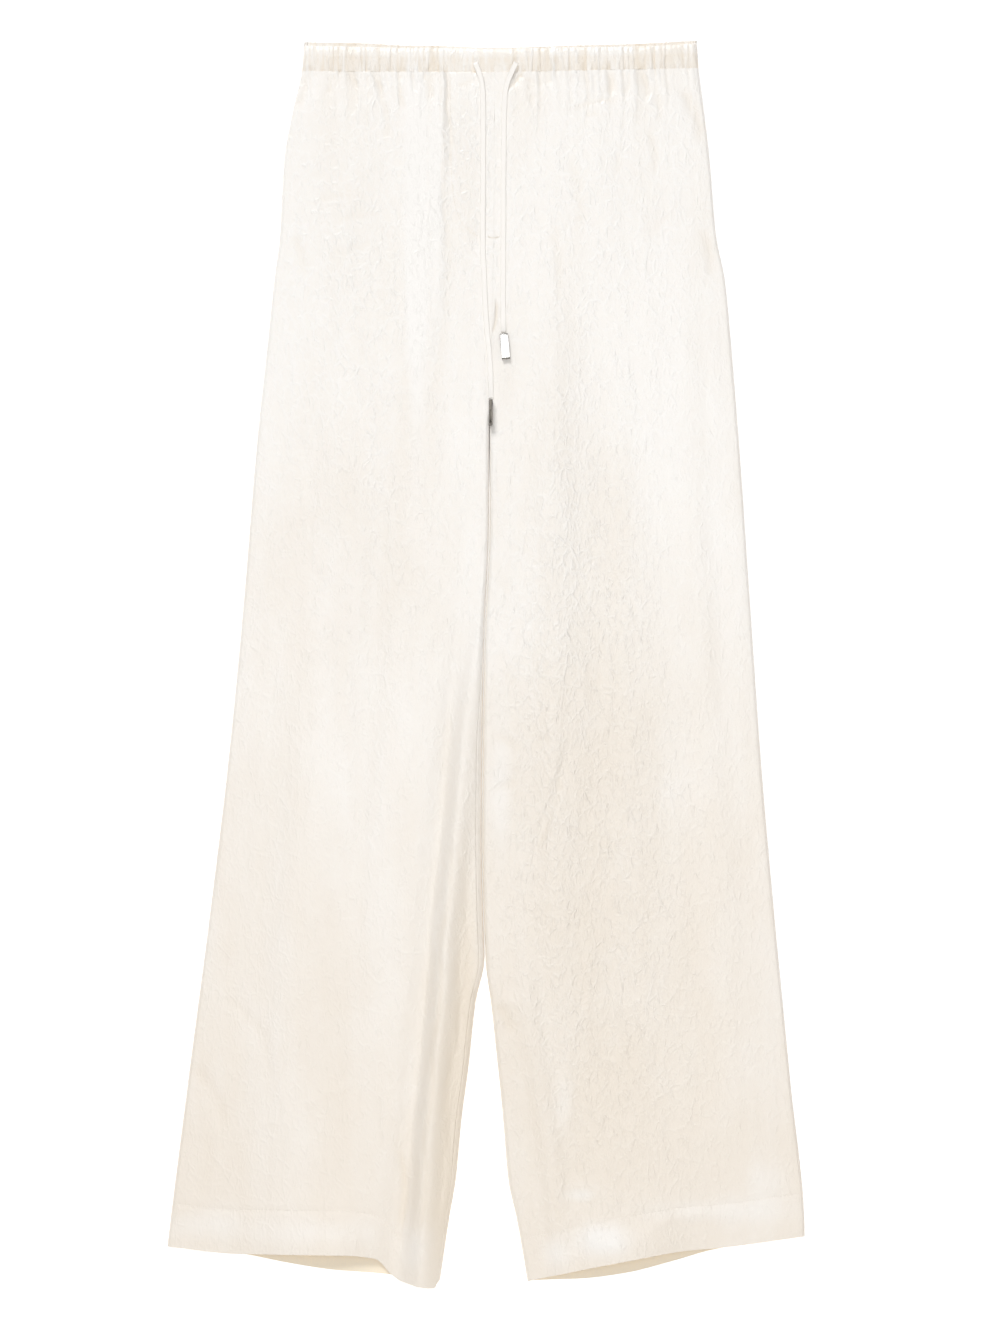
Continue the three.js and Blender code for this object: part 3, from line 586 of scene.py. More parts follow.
def front_grid(side, rows, across, wall):
    """Points of the front's face, or of its inside when wall isn't 0, row by row."""
    rows = rows[:, None]
    at = measure_rows(side, "front", rows, wall)
    way, side_x, inner_x = WAYS[side], at["side_x"], at["inner_x"]
    roll, closing, wall = at["roll"], at["closing"], at["wall"]
    angles = np.linspace(0, np.pi / 2, 8)[:-1][None, :]
    angle = angles + np.where(angles == 0, seam_angle(SIDE_ROLL, TOP_RISE, 0.0), 0)
    blocks = []

    def block(x, in_x, shape, lift):
        down = at["down_at"]((x - side_x) / (inner_x - side_x), x)
        top = height(side, x, down) + lift * fine_relief(side, x, down)
        blocks.append(np.stack([in_x + 0 * x, down, shape(top)], axis=-1))

    out_x, in_x = rolled(side_x, way, SIDE_ROLL, wall, angle)
    block(out_x, in_x, lambda top: EDGE_MIDDLE + (top - wall - EDGE_MIDDLE) * np.sin(angle),
          np.sin(angle) ** 2)
    start, end = side_x + way * SIDE_ROLL, inner_x - way * roll
    flat_x = start + (end - start) * across[None, :]
    block(flat_x, flat_x, lambda top: top - wall, 1)
    last = at["turn"] + seam_angle(roll, TOP_RISE, at["turn"])
    angle = last + (np.pi / 2 - last) * np.linspace(1, 0, 9)[1:][None, :]
    out_x, in_x = rolled(inner_x, -way, roll, wall * closing, angle)
    block(out_x, in_x, lambda top: top - wall
          - closing * (top - wall - EDGE_MIDDLE) * (1 - np.sin(angle)), np.sin(angle) ** 2)
    return np.concatenate(blocks, axis=1)


def back_grid(side, rows, across, wall):
    """Points of the back's underside, or of its inside when wall isn't 0."""
    rows = rows[:, None]
    at = measure_rows(side, "back", rows, wall)
    way, side_x, inner_x = WAYS[side], at["side_x"], at["inner_x"]
    roll, closing, wall = at["roll"], at["closing"], at["wall"]
    blocks = []

    def block(x, in_x, z):
        down = at["down_at"]((x - side_x) / (inner_x - side_x), x)
        blocks.append(np.stack([in_x + 0 * x, down, z + 0 * x], axis=-1))

    angles = -np.linspace(0, np.pi / 2, 8)[:-1][None, :]
    angle = angles - np.where(angles == 0, seam_angle(SIDE_ROLL, EDGE_MIDDLE, 0.0), 0)
    rise = 1 + np.sin(angle)
    block(*rolled(side_x, way, SIDE_ROLL, wall, angle), wall + (EDGE_MIDDLE - wall) * rise)
    start, end = side_x + way * SIDE_ROLL, inner_x - way * roll
    flat_x = start + (end - start) * across[None, :]
    block(flat_x, flat_x, wall)
    rise_at_seam = np.where(at["turn"] > 0.02, TOP_RISE, EDGE_MIDDLE)
    last = at["turn"] - seam_angle(roll, rise_at_seam, at["turn"])
    angle = -np.pi / 2 + (last + np.pi / 2) * np.linspace(0, 1, 15)[1:][None, :]
    out_x, in_x = rolled(inner_x, -way, roll, wall * closing, angle)
    down = at["down_at"]((out_x - side_x) / (inner_x - side_x), out_x)
    above = np.maximum(0, np.sin(angle)) ** 2
    top = height(side, out_x, down) + above * fine_relief(side, out_x, down)
    low = wall + (EDGE_MIDDLE - wall) * closing * (1 + np.sin(angle))
    low = np.where(closing > 0, low, wall + 0 * angle)
    high = EDGE_MIDDLE + (top - wall - EDGE_MIDDLE) * np.sin(angle)
    block(out_x, in_x, np.where(angle <= 0, low, high))
    return np.concatenate(blocks, axis=1)


# Meshes
def link_mesh(name, points, faces):
    """A new object from points in metres and the corners of its faces."""
    mesh = bpy.data.meshes.new(name)
    mesh.from_pydata(points.tolist(), [], faces)
    piece = bpy.data.objects.new(name, mesh)
    bpy.context.scene.collection.objects.link(piece)
    return piece


def face_out(piece, by_part=False):
    """Turns the faces of a closed mesh outwards, part by part if asked, and smooths it."""
    work = bmesh.new()
    work.from_mesh(piece.data)
    if by_part:
        bmesh.ops.recalc_face_normals(work, faces=work.faces)
    if work.calc_volume(signed=True) < 0:
        bmesh.ops.reverse_faces(work, faces=work.faces)
    work.to_mesh(piece.data)
    work.free()
    piece.data.shade_smooth()
    return piece


def rings_faces(count, sides):
    """The faces between neighbouring rings of points, and each ring's own points."""
    ids = np.arange(count * sides).reshape(count, sides)
    following = np.roll(ids, -1, axis=1)
    faces = np.stack([ids[:-1], following[:-1], following[1:], ids[1:]], axis=-1)
    return faces.reshape(-1, 4).tolist(), ids


def shell_mesh(name, outside, inside):
    """A closed thin shell from two grids of (x, down, z) points in millimetres."""
    count_rows, count_columns = outside.shape[:2]
    points = np.concatenate([outside.reshape(-1, 3), inside.reshape(-1, 3)])
    points = np.stack([points[:, 0], LENGTH / 2 - points[:, 1], points[:, 2]], axis=1) * MM
    ids = np.arange(count_rows * count_columns).reshape(count_rows, count_columns)
    other = ids + ids.size

    def quads(a, b, c, d):
        return np.stack([a.ravel(), b.ravel(), c.ravel(), d.ravel()], axis=1)

    faces = [
        quads(ids[:-1, :-1], ids[1:, :-1], ids[1:, 1:], ids[:-1, 1:]),
        quads(other[:-1, :-1], other[:-1, 1:], other[1:, 1:], other[1:, :-1]),
        quads(ids[0, :-1], ids[0, 1:], other[0, 1:], other[0, :-1]),
        quads(ids[-1, 1:], ids[-1, :-1], other[-1, :-1], other[-1, 1:]),
        quads(ids[1:, 0], ids[:-1, 0], other[:-1, 0], other[1:, 0]),
        quads(ids[:-1, -1], ids[1:, -1], other[1:, -1], other[:-1, -1]),
    ]
    piece = link_mesh(name, points, np.concatenate(faces).tolist())
    # The inside's faces have the second material
    inner = np.zeros(len(piece.data.polygons), np.int32)
    inner[len(faces[0]):2 * len(faces[0])] = 1
    piece.data.materials.append(None)
    piece.data.materials.append(None)
    piece.data.polygons.foreach_set("material_index", inner)
    return face_out(piece)


def finish_piece(piece, outside, slot, *nodes, reverse=None):
    """Gives a piece its materials and slot, and puts it in place of the frame's nodes."""
    if len(piece.data.materials) == 2:
        piece.data.materials[0] = outside
        piece.data.materials[1] = reverse or outside
    else:
        piece.data.materials.clear()
        piece.data.materials.append(outside)
    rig.ride(piece, "root")
    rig.slot(piece, slot)
    if nodes:
        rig.replaces(piece, *nodes)
    return piece


def painted_shade_amount(x, down, z, is_back=False):
    """How much painted shade the satin has at each point: in its creases, gathers and folds, on the casing below its
    top and round its low edges; below 0 it is a painted highlight.
    """
    side = np.where(x < read(CENTRE, "down", "middle", down), -1, 1)
    folds = crease_relief(x, down)
    for name, which in (("right", -1), ("left", 1)):
        folds = folds + np.where(side == which, gather_relief(name, x, down), 0)
    # Painted shade in the creases and gathers, with the table's painted shade and highlights
    cloth = np.clip(-0.3 * folds, 0, 0.5) + regions(PAINTED_SHADE, x, down, 0)
    top = read(BAND, "x", "back_top" if is_back else "top", x)
    share = (down - top) / (read(BAND, "x", "seam", x) - top)
    waves = band_gathers("right", x, share) + band_gathers("left", x, share)
    # Painted shade on the casing: darker below its top third, in the hollows of its gathers and along its top edge,
    # most on the back half, paler on the gathers' crests, with a random mottle
    grain = 0.2 * value_noise(x / 1.7, down / 9, 61) + 0.16 * value_noise(x / 4.3, down / 14, 67)
    band = 0.12 + 0.26 * smooth(share, 0.26, 0.42) + np.clip(-0.4 * waves, -0.12, 0.24)
    band = band + grain + (0.4 if is_back else 0.1) * (1 - smooth(share, 0.02, 0.2)) + cloth
    # Painted shade round the low, rolled edges near the floor
    edge = 0.45 * (1 - smooth(z, 2.2, 4.6))
    return np.clip(np.where(share < 1, band, cloth + edge), -1, 1)


def mark_cloth(piece, is_back=False):
    """Keeps how crinkled the cloth is, and its painted shade and highlights, at each point, for the material."""
    count = len(piece.data.vertices)
    places = np.empty(count * 3)
    piece.data.vertices.foreach_get("co", places)
    x, y, z = places.reshape(-1, 3).T / MM
    down = LENGTH / 2 - y
    values = {"crinkle": crinkle_strength(x, down), "painted_shade": painted_shade_amount(x, down, z, is_back)}
    for name, value in values.items():
        mark = piece.data.attributes.new(name, "FLOAT", "POINT")
        mark.data.foreach_set("value", value.astype(np.float32))


def panel_rows(spacing):
    """Rows of points down a panel, closer at the waist, the hem's fold and both ends."""
    top = np.concatenate([[28.0, 28.06, 28.3], np.arange(29.2, 90, spacing * 0.6)])
    leg = np.linspace(90, HEM_ROW, int((HEM_ROW - 90) / spacing))
    step = [HEM_ROW - HEM_TURN - 0.5, HEM_ROW - HEM_TURN + 0.5, HEM_ROW - 0.5, HEM_ROW - 0.1]
    return np.unique(np.concatenate([top, leg, step]))


# Materials
def new_material(name):
    """A new node material, its tree and its shader."""
    material = bpy.data.materials.new(name)
    material.use_nodes = True
    tree = material.node_tree
    return material, tree, tree.nodes["Principled BSDF"]


def add_node(tree, kind, place, **values):
    """A new node with its properties and inputs set; a space in a name is written _."""
    node = tree.nodes.new(kind)
    node.location = place
    for name, value in values.items():
        if hasattr(node, name):
            setattr(node, name, value)
        else:
            node.inputs[name.replace("_", " ")].default_value = value
    return node


def math_node(tree, place, operation, *values, clamp=False):
    """The result of a Math node whose values are numbers or other nodes' outputs."""
    node = add_node(tree, "ShaderNodeMath", place, operation=operation, use_clamp=clamp)
    for socket, value in zip(node.inputs, values):
        if isinstance(value, (int, float)):
            socket.default_value = value
        else:
            tree.links.new(value, socket)
    return node.outputs[0]


def mix_node(tree, place, factor, first, second):
    """A mix of two colours; the first is a colour or another node's output."""
    node = add_node(tree, "ShaderNodeMix", place, data_type="RGBA")
    if isinstance(first, bpy.types.NodeSocket):
        tree.links.new(first, node.inputs["A"])
    else:
        node.inputs["A"].default_value = (*first, 1)
    node.inputs["B"].default_value = (*second, 1)
    tree.links.new(factor, node.inputs["Factor"])
    return node.outputs["Result"]


def bump_node(tree, place, height, strength, distance, below=None):
    """The normal of a Bump node, over another one's if it is given."""
    node = add_node(tree, "ShaderNodeBump", place, Strength=strength, Distance=distance)
    tree.links.new(height, node.inputs["Height"])
    if below:
        tree.links.new(below, node.inputs["Normal"])
    return node.outputs["Normal"]


def mapped(tree, place, scale, turn=0.0):
    """Object coordinates through a Mapping node."""
    coordinates = add_node(tree, "ShaderNodeTexCoord", (place[0] - 400, place[1]))
    mapping = add_node(tree, "ShaderNodeMapping", (place[0] - 200, place[1]))
    mapping.inputs["Scale"].default_value = scale
    mapping.inputs["Rotation"].default_value = (0, 0, turn)
    tree.links.new(coordinates.outputs["Object"], mapping.inputs["Vector"])
    return mapping.outputs["Vector"]


def noise_node(tree, place, vector, scale, detail=2.0, roughness=0.5):
    """A Noise Texture node in an object's metres."""
    node = add_node(tree, "ShaderNodeTexNoise", place, Scale=scale, Detail=detail,
                    Roughness=roughness)
    tree.links.new(vector, node.inputs["Vector"])
    return node


def crackle_node(tree, place, vector, scale):
    """Distance from the edges of an uneven net, for crushed ridges."""
    node = add_node(tree, "ShaderNodeTexVoronoi", place, feature="DISTANCE_TO_EDGE",
                    Scale=scale)
    tree.links.new(vector, node.inputs["Vector"])
    return node.outputs["Distance"]


def ridge_node(tree, place, distance, wide):
    """1 on the net's lines, and 0 past a width that is a share of its cells."""
    node = add_node(tree, "ShaderNodeMapRange", place, interpolation_type="SMOOTHSTEP",
                    From_Max=wide, To_Min=1, To_Max=0)
    tree.links.new(distance, node.inputs["Value"])
    return node.outputs["Result"]


# The crushed nets: cells a metre, a ridge's width as a share of a cell, and its height
NETS = ((64, 0.10, 0.13), (140, 0.17, 0.17), (280, 0.26, 0.11))


def satin_material(name, chosen, crinkled):
    """Ivory satin: soft gloss, a crushed net of fine ridges, a fine weave, and painted light and shade in its colour.
    """
    material, tree, shader = new_material(name)
    long_way = mapped(tree, (-1400, 400), (1.0, 0.16, 1.0))
    bands = noise_node(tree, (-1000, 500), long_way, 14, 3, 0.55)
    patches = noise_node(tree, (-1000, 250), mapped(tree, (-1400, 150), (1, 0.6, 1)), 9, 4, 0.6)
    tone = math_node(tree, (-800, 420), "ADD", bands.outputs["Fac"], patches.outputs["Fac"])
    tone = math_node(tree, (-620, 420), "MULTIPLY_ADD", tone, 1.1, -1.1)
    # Painted light: the colour is paler towards the waist and warmer towards the hems, where less light falls
    coordinates = add_node(tree, "ShaderNodeTexCoord", (-1000, 800))
    split = add_node(tree, "ShaderNodeSeparateXYZ", (-800, 800))
    tree.links.new(coordinates.outputs["Object"], split.inputs["Vector"])
    down = add_node(tree, "ShaderNodeMapRange", (-620, 750), From_Min=0.35, From_Max=-0.5)
    tree.links.new(split.outputs["Y"], down.inputs["Value"])
    # Painted shade kept on the points; where it is below 0 it is a painted highlight, which makes the colour paler
    folds = add_node(tree, "ShaderNodeAttribute", (-850, 950), attribute_name="painted_shade")
    painted_highlight = math_node(tree, (-620, 950), "MINIMUM", folds.outputs["Fac"], 0)
    tone = math_node(tree, (-480, 640), "ADD", tone, painted_highlight)
    tone = math_node(tree, (-480, 560), "ADD", tone, down.outputs["Result"], clamp=True)
    colours = mix_node(tree, (-380, 480), tone, chosen.satin_light, chosen.satin_warm)

    # A warped net of thin ridges, longer down the cloth than across it
    warp_vector = mapped(tree, (-1900, -200), (1, 0.6, 1), 0.12)
    warp = noise_node(tree, (-1650, -350), warp_vector, 55, 2)
    warp_scaled = add_node(tree, "ShaderNodeVectorMath", (-1450, -350), operation="SCALE",
                           Scale=0.006)
    tree.links.new(warp.outputs["Color"], warp_scaled.inputs[0])
    warped = add_node(tree, "ShaderNodeVectorMath", (-1250, -250), operation="ADD")
    tree.links.new(warp_vector, warped.inputs[0])
    tree.links.new(warp_scaled.outputs["Vector"], warped.inputs[1])
    spread = warped.outputs["Vector"]
    ridges = None
    for row, (cells, wide, tall) in enumerate(NETS):
        low = -200 * row
        net = crackle_node(tree, (-1050, low - 150), spread, cells)
        lines = ridge_node(tree, (-850, low - 150), net, wide)
        broken = noise_node(tree, (-1050, low - 900), spread, cells * 0.7, 2)
        kept = math_node(tree, (-850, low - 900), "MULTIPLY_ADD", broken.outputs["Fac"], 4.0,
                         -1.5, clamp=True)
        lines = math_node(tree, (-650, low - 150), "MULTIPLY", lines, kept)
        lines = math_node(tree, (-500, low - 150), "MULTIPLY", lines, tall)
        ridges = lines if ridges is None else math_node(tree, (-350, low), "ADD", ridges, lines)
    hammered = noise_node(tree, (-650, -1500), spread, 520, 3, 0.65)
    hammered = math_node(tree, (-450, -1500), "MULTIPLY", hammered.outputs["Fac"], 0.2)
    ridges = math_node(tree, (-200, -350), "ADD", ridges, hammered)
    # Painted shade between the crushed ridges
    between = math_node(tree, (-200, -650), "MULTIPLY_ADD", ridges, -0.6, 0.16)
    between = math_node(tree, (-80, -650), "MAXIMUM", between, 0)
    if crinkled:
        strength = add_node(tree, "ShaderNodeAttribute", (-850, -950), attribute_name="crinkle")
        share = math_node(tree, (-650, -850), "MULTIPLY_ADD", strength.outputs["Fac"], 1.6,
                          0.15)
        ridges = math_node(tree, (-80, -450), "MULTIPLY", ridges, share)
        between = math_node(tree, (60, -650), "MULTIPLY", between, share)

    # Painted shade: the colour darkens to a golden tone in the folds and between the ridges
    painted_shade = math_node(tree, (-200, 700), "ADD", folds.outputs["Fac"], between, clamp=True)
    painted_shade_colour = mix_node(tree, (-60, 520), painted_shade, colours, chosen.satin_painted_shade)
    tree.links.new(painted_shade_colour, shader.inputs["Base Color"])
    crinkle = bump_node(tree, (60, -300), ridges, chosen.crinkle_bump, 0.001)

    weave_vector = mapped(tree, (-700, -900), (1.0, 0.35, 1.0))
    weave = noise_node(tree, (-450, -900), weave_vector, 2600, 1)
    cloth = bump_node(tree, (100, -400), weave.outputs["Fac"], 0.12, 0.0002, crinkle)
    tree.links.new(cloth, shader.inputs["Normal"])

    gloss = math_node(tree, (-380, 120), "MULTIPLY_ADD", patches.outputs["Fac"], 0.16,
                      chosen.satin_roughness - 0.08)
    tree.links.new(gloss, shader.inputs["Roughness"])
    shader.inputs["Specular IOR Level"].default_value = 0.9
    shader.inputs["IOR"].default_value = 1.65
    shader.inputs["Sheen Weight"].default_value = 0.12
    shader.inputs["Sheen Roughness"].default_value = 0.35
    return material


def grained_material(name, cells, stretch, share, colours, detail=3, relief=0.0):
    """A material whose colours, and relief if it has any, follow a fine lengthwise grain."""
    material, tree, shader = new_material(name)
    along = mapped(tree, (-800, 200), (1, stretch, 1))
    grain = noise_node(tree, (-600, 200), along, cells, detail, 0.6).outputs["Fac"]
    share = math_node(tree, (-450, 150), "MULTIPLY", grain, share)
    tree.links.new(mix_node(tree, (-300, 300), share, *colours), shader.inputs["Base Color"])
    if relief:
        normal = bump_node(tree, (-200, -200), grain, relief, 0.0003)
        tree.links.new(normal, shader.inputs["Normal"])
    return material, tree, shader, grain


def reverse_material(chosen):
    """The satin's dull back, which shows inside the hems; its warm, bright colour is painted light, standing in for
    light through the thin cloth under the hems.
    """
    colours = chosen.satin_reverse_painted_light, chosen.satin_warm
    material, _, shader, _ = grained_material("satin_reverse_painted_light", 700, 0.3, 0.6, colours, 4, 0.4)
    shader.inputs["Roughness"].default_value = 0.75
    return material


def tape_material(chosen):
    """The drawstring's satin, folded to a flat tape with a fine lengthwise grain."""
    colours = chosen.satin_light, chosen.satin_warm
    material, _, shader, _ = grained_material("drawstring_satin", 900, 0.15, 0.4, colours,
                                              relief=0.3)
    shader.inputs["Roughness"].default_value = 0.4
    shader.inputs["Specular IOR Level"].default_value = 0.9
    shader.inputs["IOR"].default_value = 1.65
    return material


def thread_material(chosen):
    """Matt sewing thread with a fine twist."""
    material, tree, shader = new_material("sewing_thread")
    twist = noise_node(tree, (-600, 100), mapped(tree, (-800, 100), (1, 1, 1)), 4000, 1)
    colours = mix_node(tree, (-300, 200), twist.outputs["Fac"], chosen.thread,
                       chosen.satin_warm)
    tree.links.new(colours, shader.inputs["Base Color"])
    shader.inputs["Roughness"].default_value = 0.6
    return material


def metal_material(name, bright, dark, share):
    """Polished metal with faint rubbed marks along it, from bright to dark."""
    material, tree, shader, rubbed = grained_material(name, 1500, 0.08, share, (bright, dark))
    gloss = math_node(tree, (-300, 0), "MULTIPLY_ADD", rubbed, 0.14, 0.14)
    tree.links.new(gloss, shader.inputs["Roughness"])
    shader.inputs["Metallic"].default_value = 1.0
    return material


class TrousersSettings(bpy.types.PropertyGroup):
    """The colours, sizes and light that the panel shows"""

    satin_light: bpy.props.FloatVectorProperty(
        name="Satin, light", description="The satin's palest colour", subtype="COLOR",
        size=3, min=0, max=1, default=(0.965, 0.94, 0.905))
    satin_warm: bpy.props.FloatVectorProperty(
        name="Satin, warm", description="The satin's warmest colour", subtype="COLOR",
        size=3, min=0, max=1, default=(0.89, 0.813, 0.717))
    # The colour of the painted shade deep in the satin's folds
    satin_painted_shade: bpy.props.FloatVectorProperty(
        name="Satin, golden", description="The satin's colour deep in its folds",
        subtype="COLOR", size=3, min=0, max=1, default=(0.85, 0.75, 0.62))
    # The back's colour is partly its own and partly painted light, warm and bright as if lit through the cloth
    satin_reverse_painted_light: bpy.props.FloatVectorProperty(
        name="Satin, reverse", description="Colour of the satin's dull back", subtype="COLOR",
        size=3, min=0, max=1, default=(1.0, 0.88, 0.68))
    thread: bpy.props.FloatVectorProperty(
        name="Thread", description="Colour of the sewing thread", subtype="COLOR",
        size=3, min=0, max=1, default=(0.95, 0.91, 0.85))
    metal: bpy.props.FloatVectorProperty(
        name="Metal", description="Colour of the drawstring's metal ends", subtype="COLOR",
        size=3, min=0, max=1, default=(0.74, 0.73, 0.72))
    # The darker sides are a painted dark reflection
    metal_painted_dark_sides: bpy.props.FloatVectorProperty(
        name="Metal, sides", description="Colour of the metal ends' darker sides",
        subtype="COLOR", size=3, min=0, max=1, default=(0.22, 0.2, 0.175))
    satin_roughness: bpy.props.FloatProperty(
        name="Satin roughness", description="How softly the satin shines", default=0.42,
        min=0.1, max=1, subtype="FACTOR")
    crinkle_bump: bpy.props.FloatProperty(
        name="Fine crinkle", description="Strength of the finest crushed ridges", default=1.0,
        min=0, max=1, subtype="FACTOR")
    cloth_wall: bpy.props.FloatProperty(
        name="Cloth thickness", description="Thickness of one layer of satin", default=0.0007,
        min=0.0003, max=0.0012, unit="LENGTH")
    grid: bpy.props.FloatProperty(
        name="Cloth spacing", description="Distance between points down the front panels",
        default=0.0031, min=0.002, max=0.02, unit="LENGTH")
    stitch: bpy.props.FloatProperty(
        name="Stitch length", description="Length of one stitch", default=0.0026,
        min=0.001, max=0.006, unit="LENGTH")
    light_power: bpy.props.FloatProperty(
        name="Key light", description="Power of the large light beyond the waist", default=312.0,
        min=0, max=500, subtype="POWER")


def settings():
    """The scene's settings for the trousers."""
    return bpy.context.scene.trousers_settings


def material(name):
    """The material of that name, made at its first use."""
    found = bpy.data.materials.get(name)
    if found:
        return found
    makers = {
        "crinkled_satin": lambda: satin_material("crinkled_satin", settings(), True),
        "plain_satin": lambda: satin_material("plain_satin", settings(), False),
        "drawstring_satin": lambda: tape_material(settings()),
        "satin_reverse_painted_light": lambda: reverse_material(settings()),
        "sewing_thread": lambda: thread_material(settings()),
        "tip_metal": lambda: metal_material(
            "tip_metal", settings().metal, (0.42, 0.41, 0.4), 0.35),
        # The ends' sides take a darker copy of the metal: a painted dark reflection
        "tip_side_metal": lambda: metal_material(
            "tip_side_metal", settings().metal_painted_dark_sides, (0.03, 0.028, 0.026), 1.0),
    }
    return makers[name]()


def make_panels(face, grid, spacing, columns):
    """The two panels of one face, as closed shells with the satin's dull back inside, whose colour has painted light
    in it.
    """
    rows, across = panel_rows(spacing), np.linspace(0, 1, columns)
    wall = settings().cloth_wall / MM
    for side in ("right", "left"):
        piece = shell_mesh(f"satin_{face}_{side}", grid(side, rows, across, 0),
                           grid(side, rows, across, wall))
        mark_cloth(piece)
        finish_piece(piece, material("crinkled_satin"), "satin", f"{face}_{side}",
                     reverse=material("satin_reverse_painted_light"))
        yield side, piece


class TROUSERS_OT_fronts(bpy.types.Operator):
    """Makes the two front panels with their folds, creases, gathers and crinkle"""

    bl_idname = "trousers.fronts"
    bl_label = "Front panels"

    def execute(self, context):
        for side, piece in make_panels("front", front_grid, settings().grid / MM, 98):
            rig.sheet(piece, flat=(0.30, 1.16), area=0.268, held="laid",
                     rests_on=[f"back_{side}"])
        return {"FINISHED"}


class TROUSERS_OT_backs(bpy.types.Operator):
    """Makes the two back panels, flat on the surface and rolled up at their edges"""

    bl_idname = "trousers.backs"
    bl_label = "Back panels"

    def execute(self, context):
        spacing = BACK_SPACING * settings().grid / MM
        for side, piece in make_panels("back", back_grid, spacing, 36):
            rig.sheet(piece, flat=(0.31, 1.16), area=0.272, held="laid")
        return {"FINISHED"}


def band_grid(is_front, depth):
    """The casing's points: its face when depth is 0, or its inside."""
    radius = BAND_TOP / 2
    shares = np.array([0, 0.03, 0.08, 0.16, 0.3, 0.45, 0.6, 0.74, 0.86, 0.94, 0.985, 0.997,
                       1])[:, None]
    near = read(OUTLINE, "down", "right", 5 + 23 * shares)
    far = read(OUTLINE, "down", "left", 2 + 24 * shares)
    angles = np.linspace(0, np.pi / 2, 9)[None, :]
    angles = angles + np.where(angles == 0, seam_angle(radius, radius, 0.0), 0)
    reach = radius - depth
    start = near + radius - reach * np.cos(angles)
    end = (far - radius + reach * np.cos(angles))[:, ::-1]
    count = 620
    flat = start[:, -1:] + (end[:, :1] - start[:, -1:]) * np.linspace(0, 1, count)[None, 1:-1]
    x = np.concatenate([start, flat, end], axis=1)
    turned = np.concatenate([np.sin(angles), np.ones((1, count - 2)), np.sin(angles)[:, ::-1]],
                            axis=1)
    over = np.maximum(0, 0.32 - shares) / 0.32
    under = np.maximum(0, shares - 0.32) / 0.68
    soft = 1.7 * over ** 3 + 1.5 * under ** 1.7
    waves = sum(band_gathers(side, x, shares) for side in ("right", "left"))
    face = radius - soft * (depth == 0) + waves * (depth == 0)
    rise = (face if depth == 0 else reach) * turned + 0 * x
    z = radius + rise if is_front else radius - np.minimum(rise, radius)
    seam = read(BAND, "x", "seam", x) - SEAM
    top = read(BAND, "x", "top" if is_front else "back_top", x)
    return np.stack([x, top + (seam - top) * shares, z], axis=-1)


def band_gathers(side, x, shares):
    """The casing's gathers, in millimetres, on one side of the drawstrings."""
    inside, _, which = gather_turn(side, x)
    lean = 1.6 * np.sin(which * 3.1) * (shares - 0.5)
    _, turn, which = gather_turn(side, x + lean)
    deep = 0.62 + 0.38 * np.sin(2.6 * which + 0.5)
    wave = np.cos(2 * np.pi * turn) + 0.45 * np.cos(4 * np.pi * turn + which + 3 * shares)
    pinched = 0.45 + 0.95 * shares ** 1.6 + 0.45 * (1 - shares) ** 3
    fine = 0.5 * value_noise((x + lean) / 2.2, shares * 2.2, 71)
    return inside * pinched * (0.33 * deep * wave + 0.4 * fine)


class TROUSERS_OT_waistband(bpy.types.Operator):
    """Makes the gathered elastic casing, in a front half and a back half"""

    bl_idname = "trousers.waistband"
    bl_label = "Waistband"

    def execute(self, context):
        for half in ("front", "back"):
            is_front = half == "front"
            piece = shell_mesh(f"satin_waistband_{half}", band_grid(is_front, 0),
                               band_grid(is_front, BAND_WALL))
            mark_cloth(piece, not is_front)
            finish_piece(piece, material("plain_satin"), "satin", f"waistband_{half}")
            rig.sheet(piece, flat=(0.42, 0.026), held="gathered")
        return {"FINISHED"}


def surface(x, down):
    """The finished face of the two fronts at a place, with its fine relief."""
    x, down = np.asarray(x, float), np.asarray(down, float)
    centre = read(CENTRE, "down", "middle", down)
    heights = [height(side, x, down) + fine_relief(side, x, down) for side in ("right", "left")]
    return np.where(x < centre, heights[0], heights[1])


# The mock fly's left edge and foot
FLY_EDGE = table(("down", "left"), [
    (29, -35.2), (100, -34.6), (130, -33.6), (150, -31), (164, -26.6), (173, -20.5),
    (179, -12), (182, 0.5),
])


def fly_grid(lift):
    """The fly's points on the right front, raised by a lift within its edges."""
    rows = np.concatenate([np.linspace(28.8, 150, 62), np.linspace(150, 181.4, 30)[1:]])[:, None]
    left = read(FLY_EDGE, "down", "left", rows)
    right = read(CENTRE, "down", "middle", rows) + 0.6
    x = left + (right - left) * np.linspace(0, 1, 26)[None, :]
    down = rows + 0 * x
    inner = np.minimum(smooth(x - left, 0, 7), smooth(right - x, 0, 12))
    inner = inner * (1 - smooth(down, 172, 181.4))
    return np.stack([x, down, surface(x, down) - 0.08 + lift * inner], axis=-1)


class TROUSERS_OT_fly(bpy.types.Operator):
    """Makes the mock fly, lapped over the right front"""

    bl_idname = "trousers.fly"
    bl_label = "Mock fly"

    def execute(self, context):
        under = fly_grid(0.0) - np.array([0, 0, FLY_WALL])
        piece = shell_mesh("satin_fly", fly_grid(FLY_WALL), under)
        mark_cloth(piece)
        finish_piece(piece, material("crinkled_satin"), "satin", "fly")
        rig.sheet(piece, flat=(0.043, 0.153), area=0.0059, held="laid", rests_on=["front_right"])
        return {"FINISHED"}


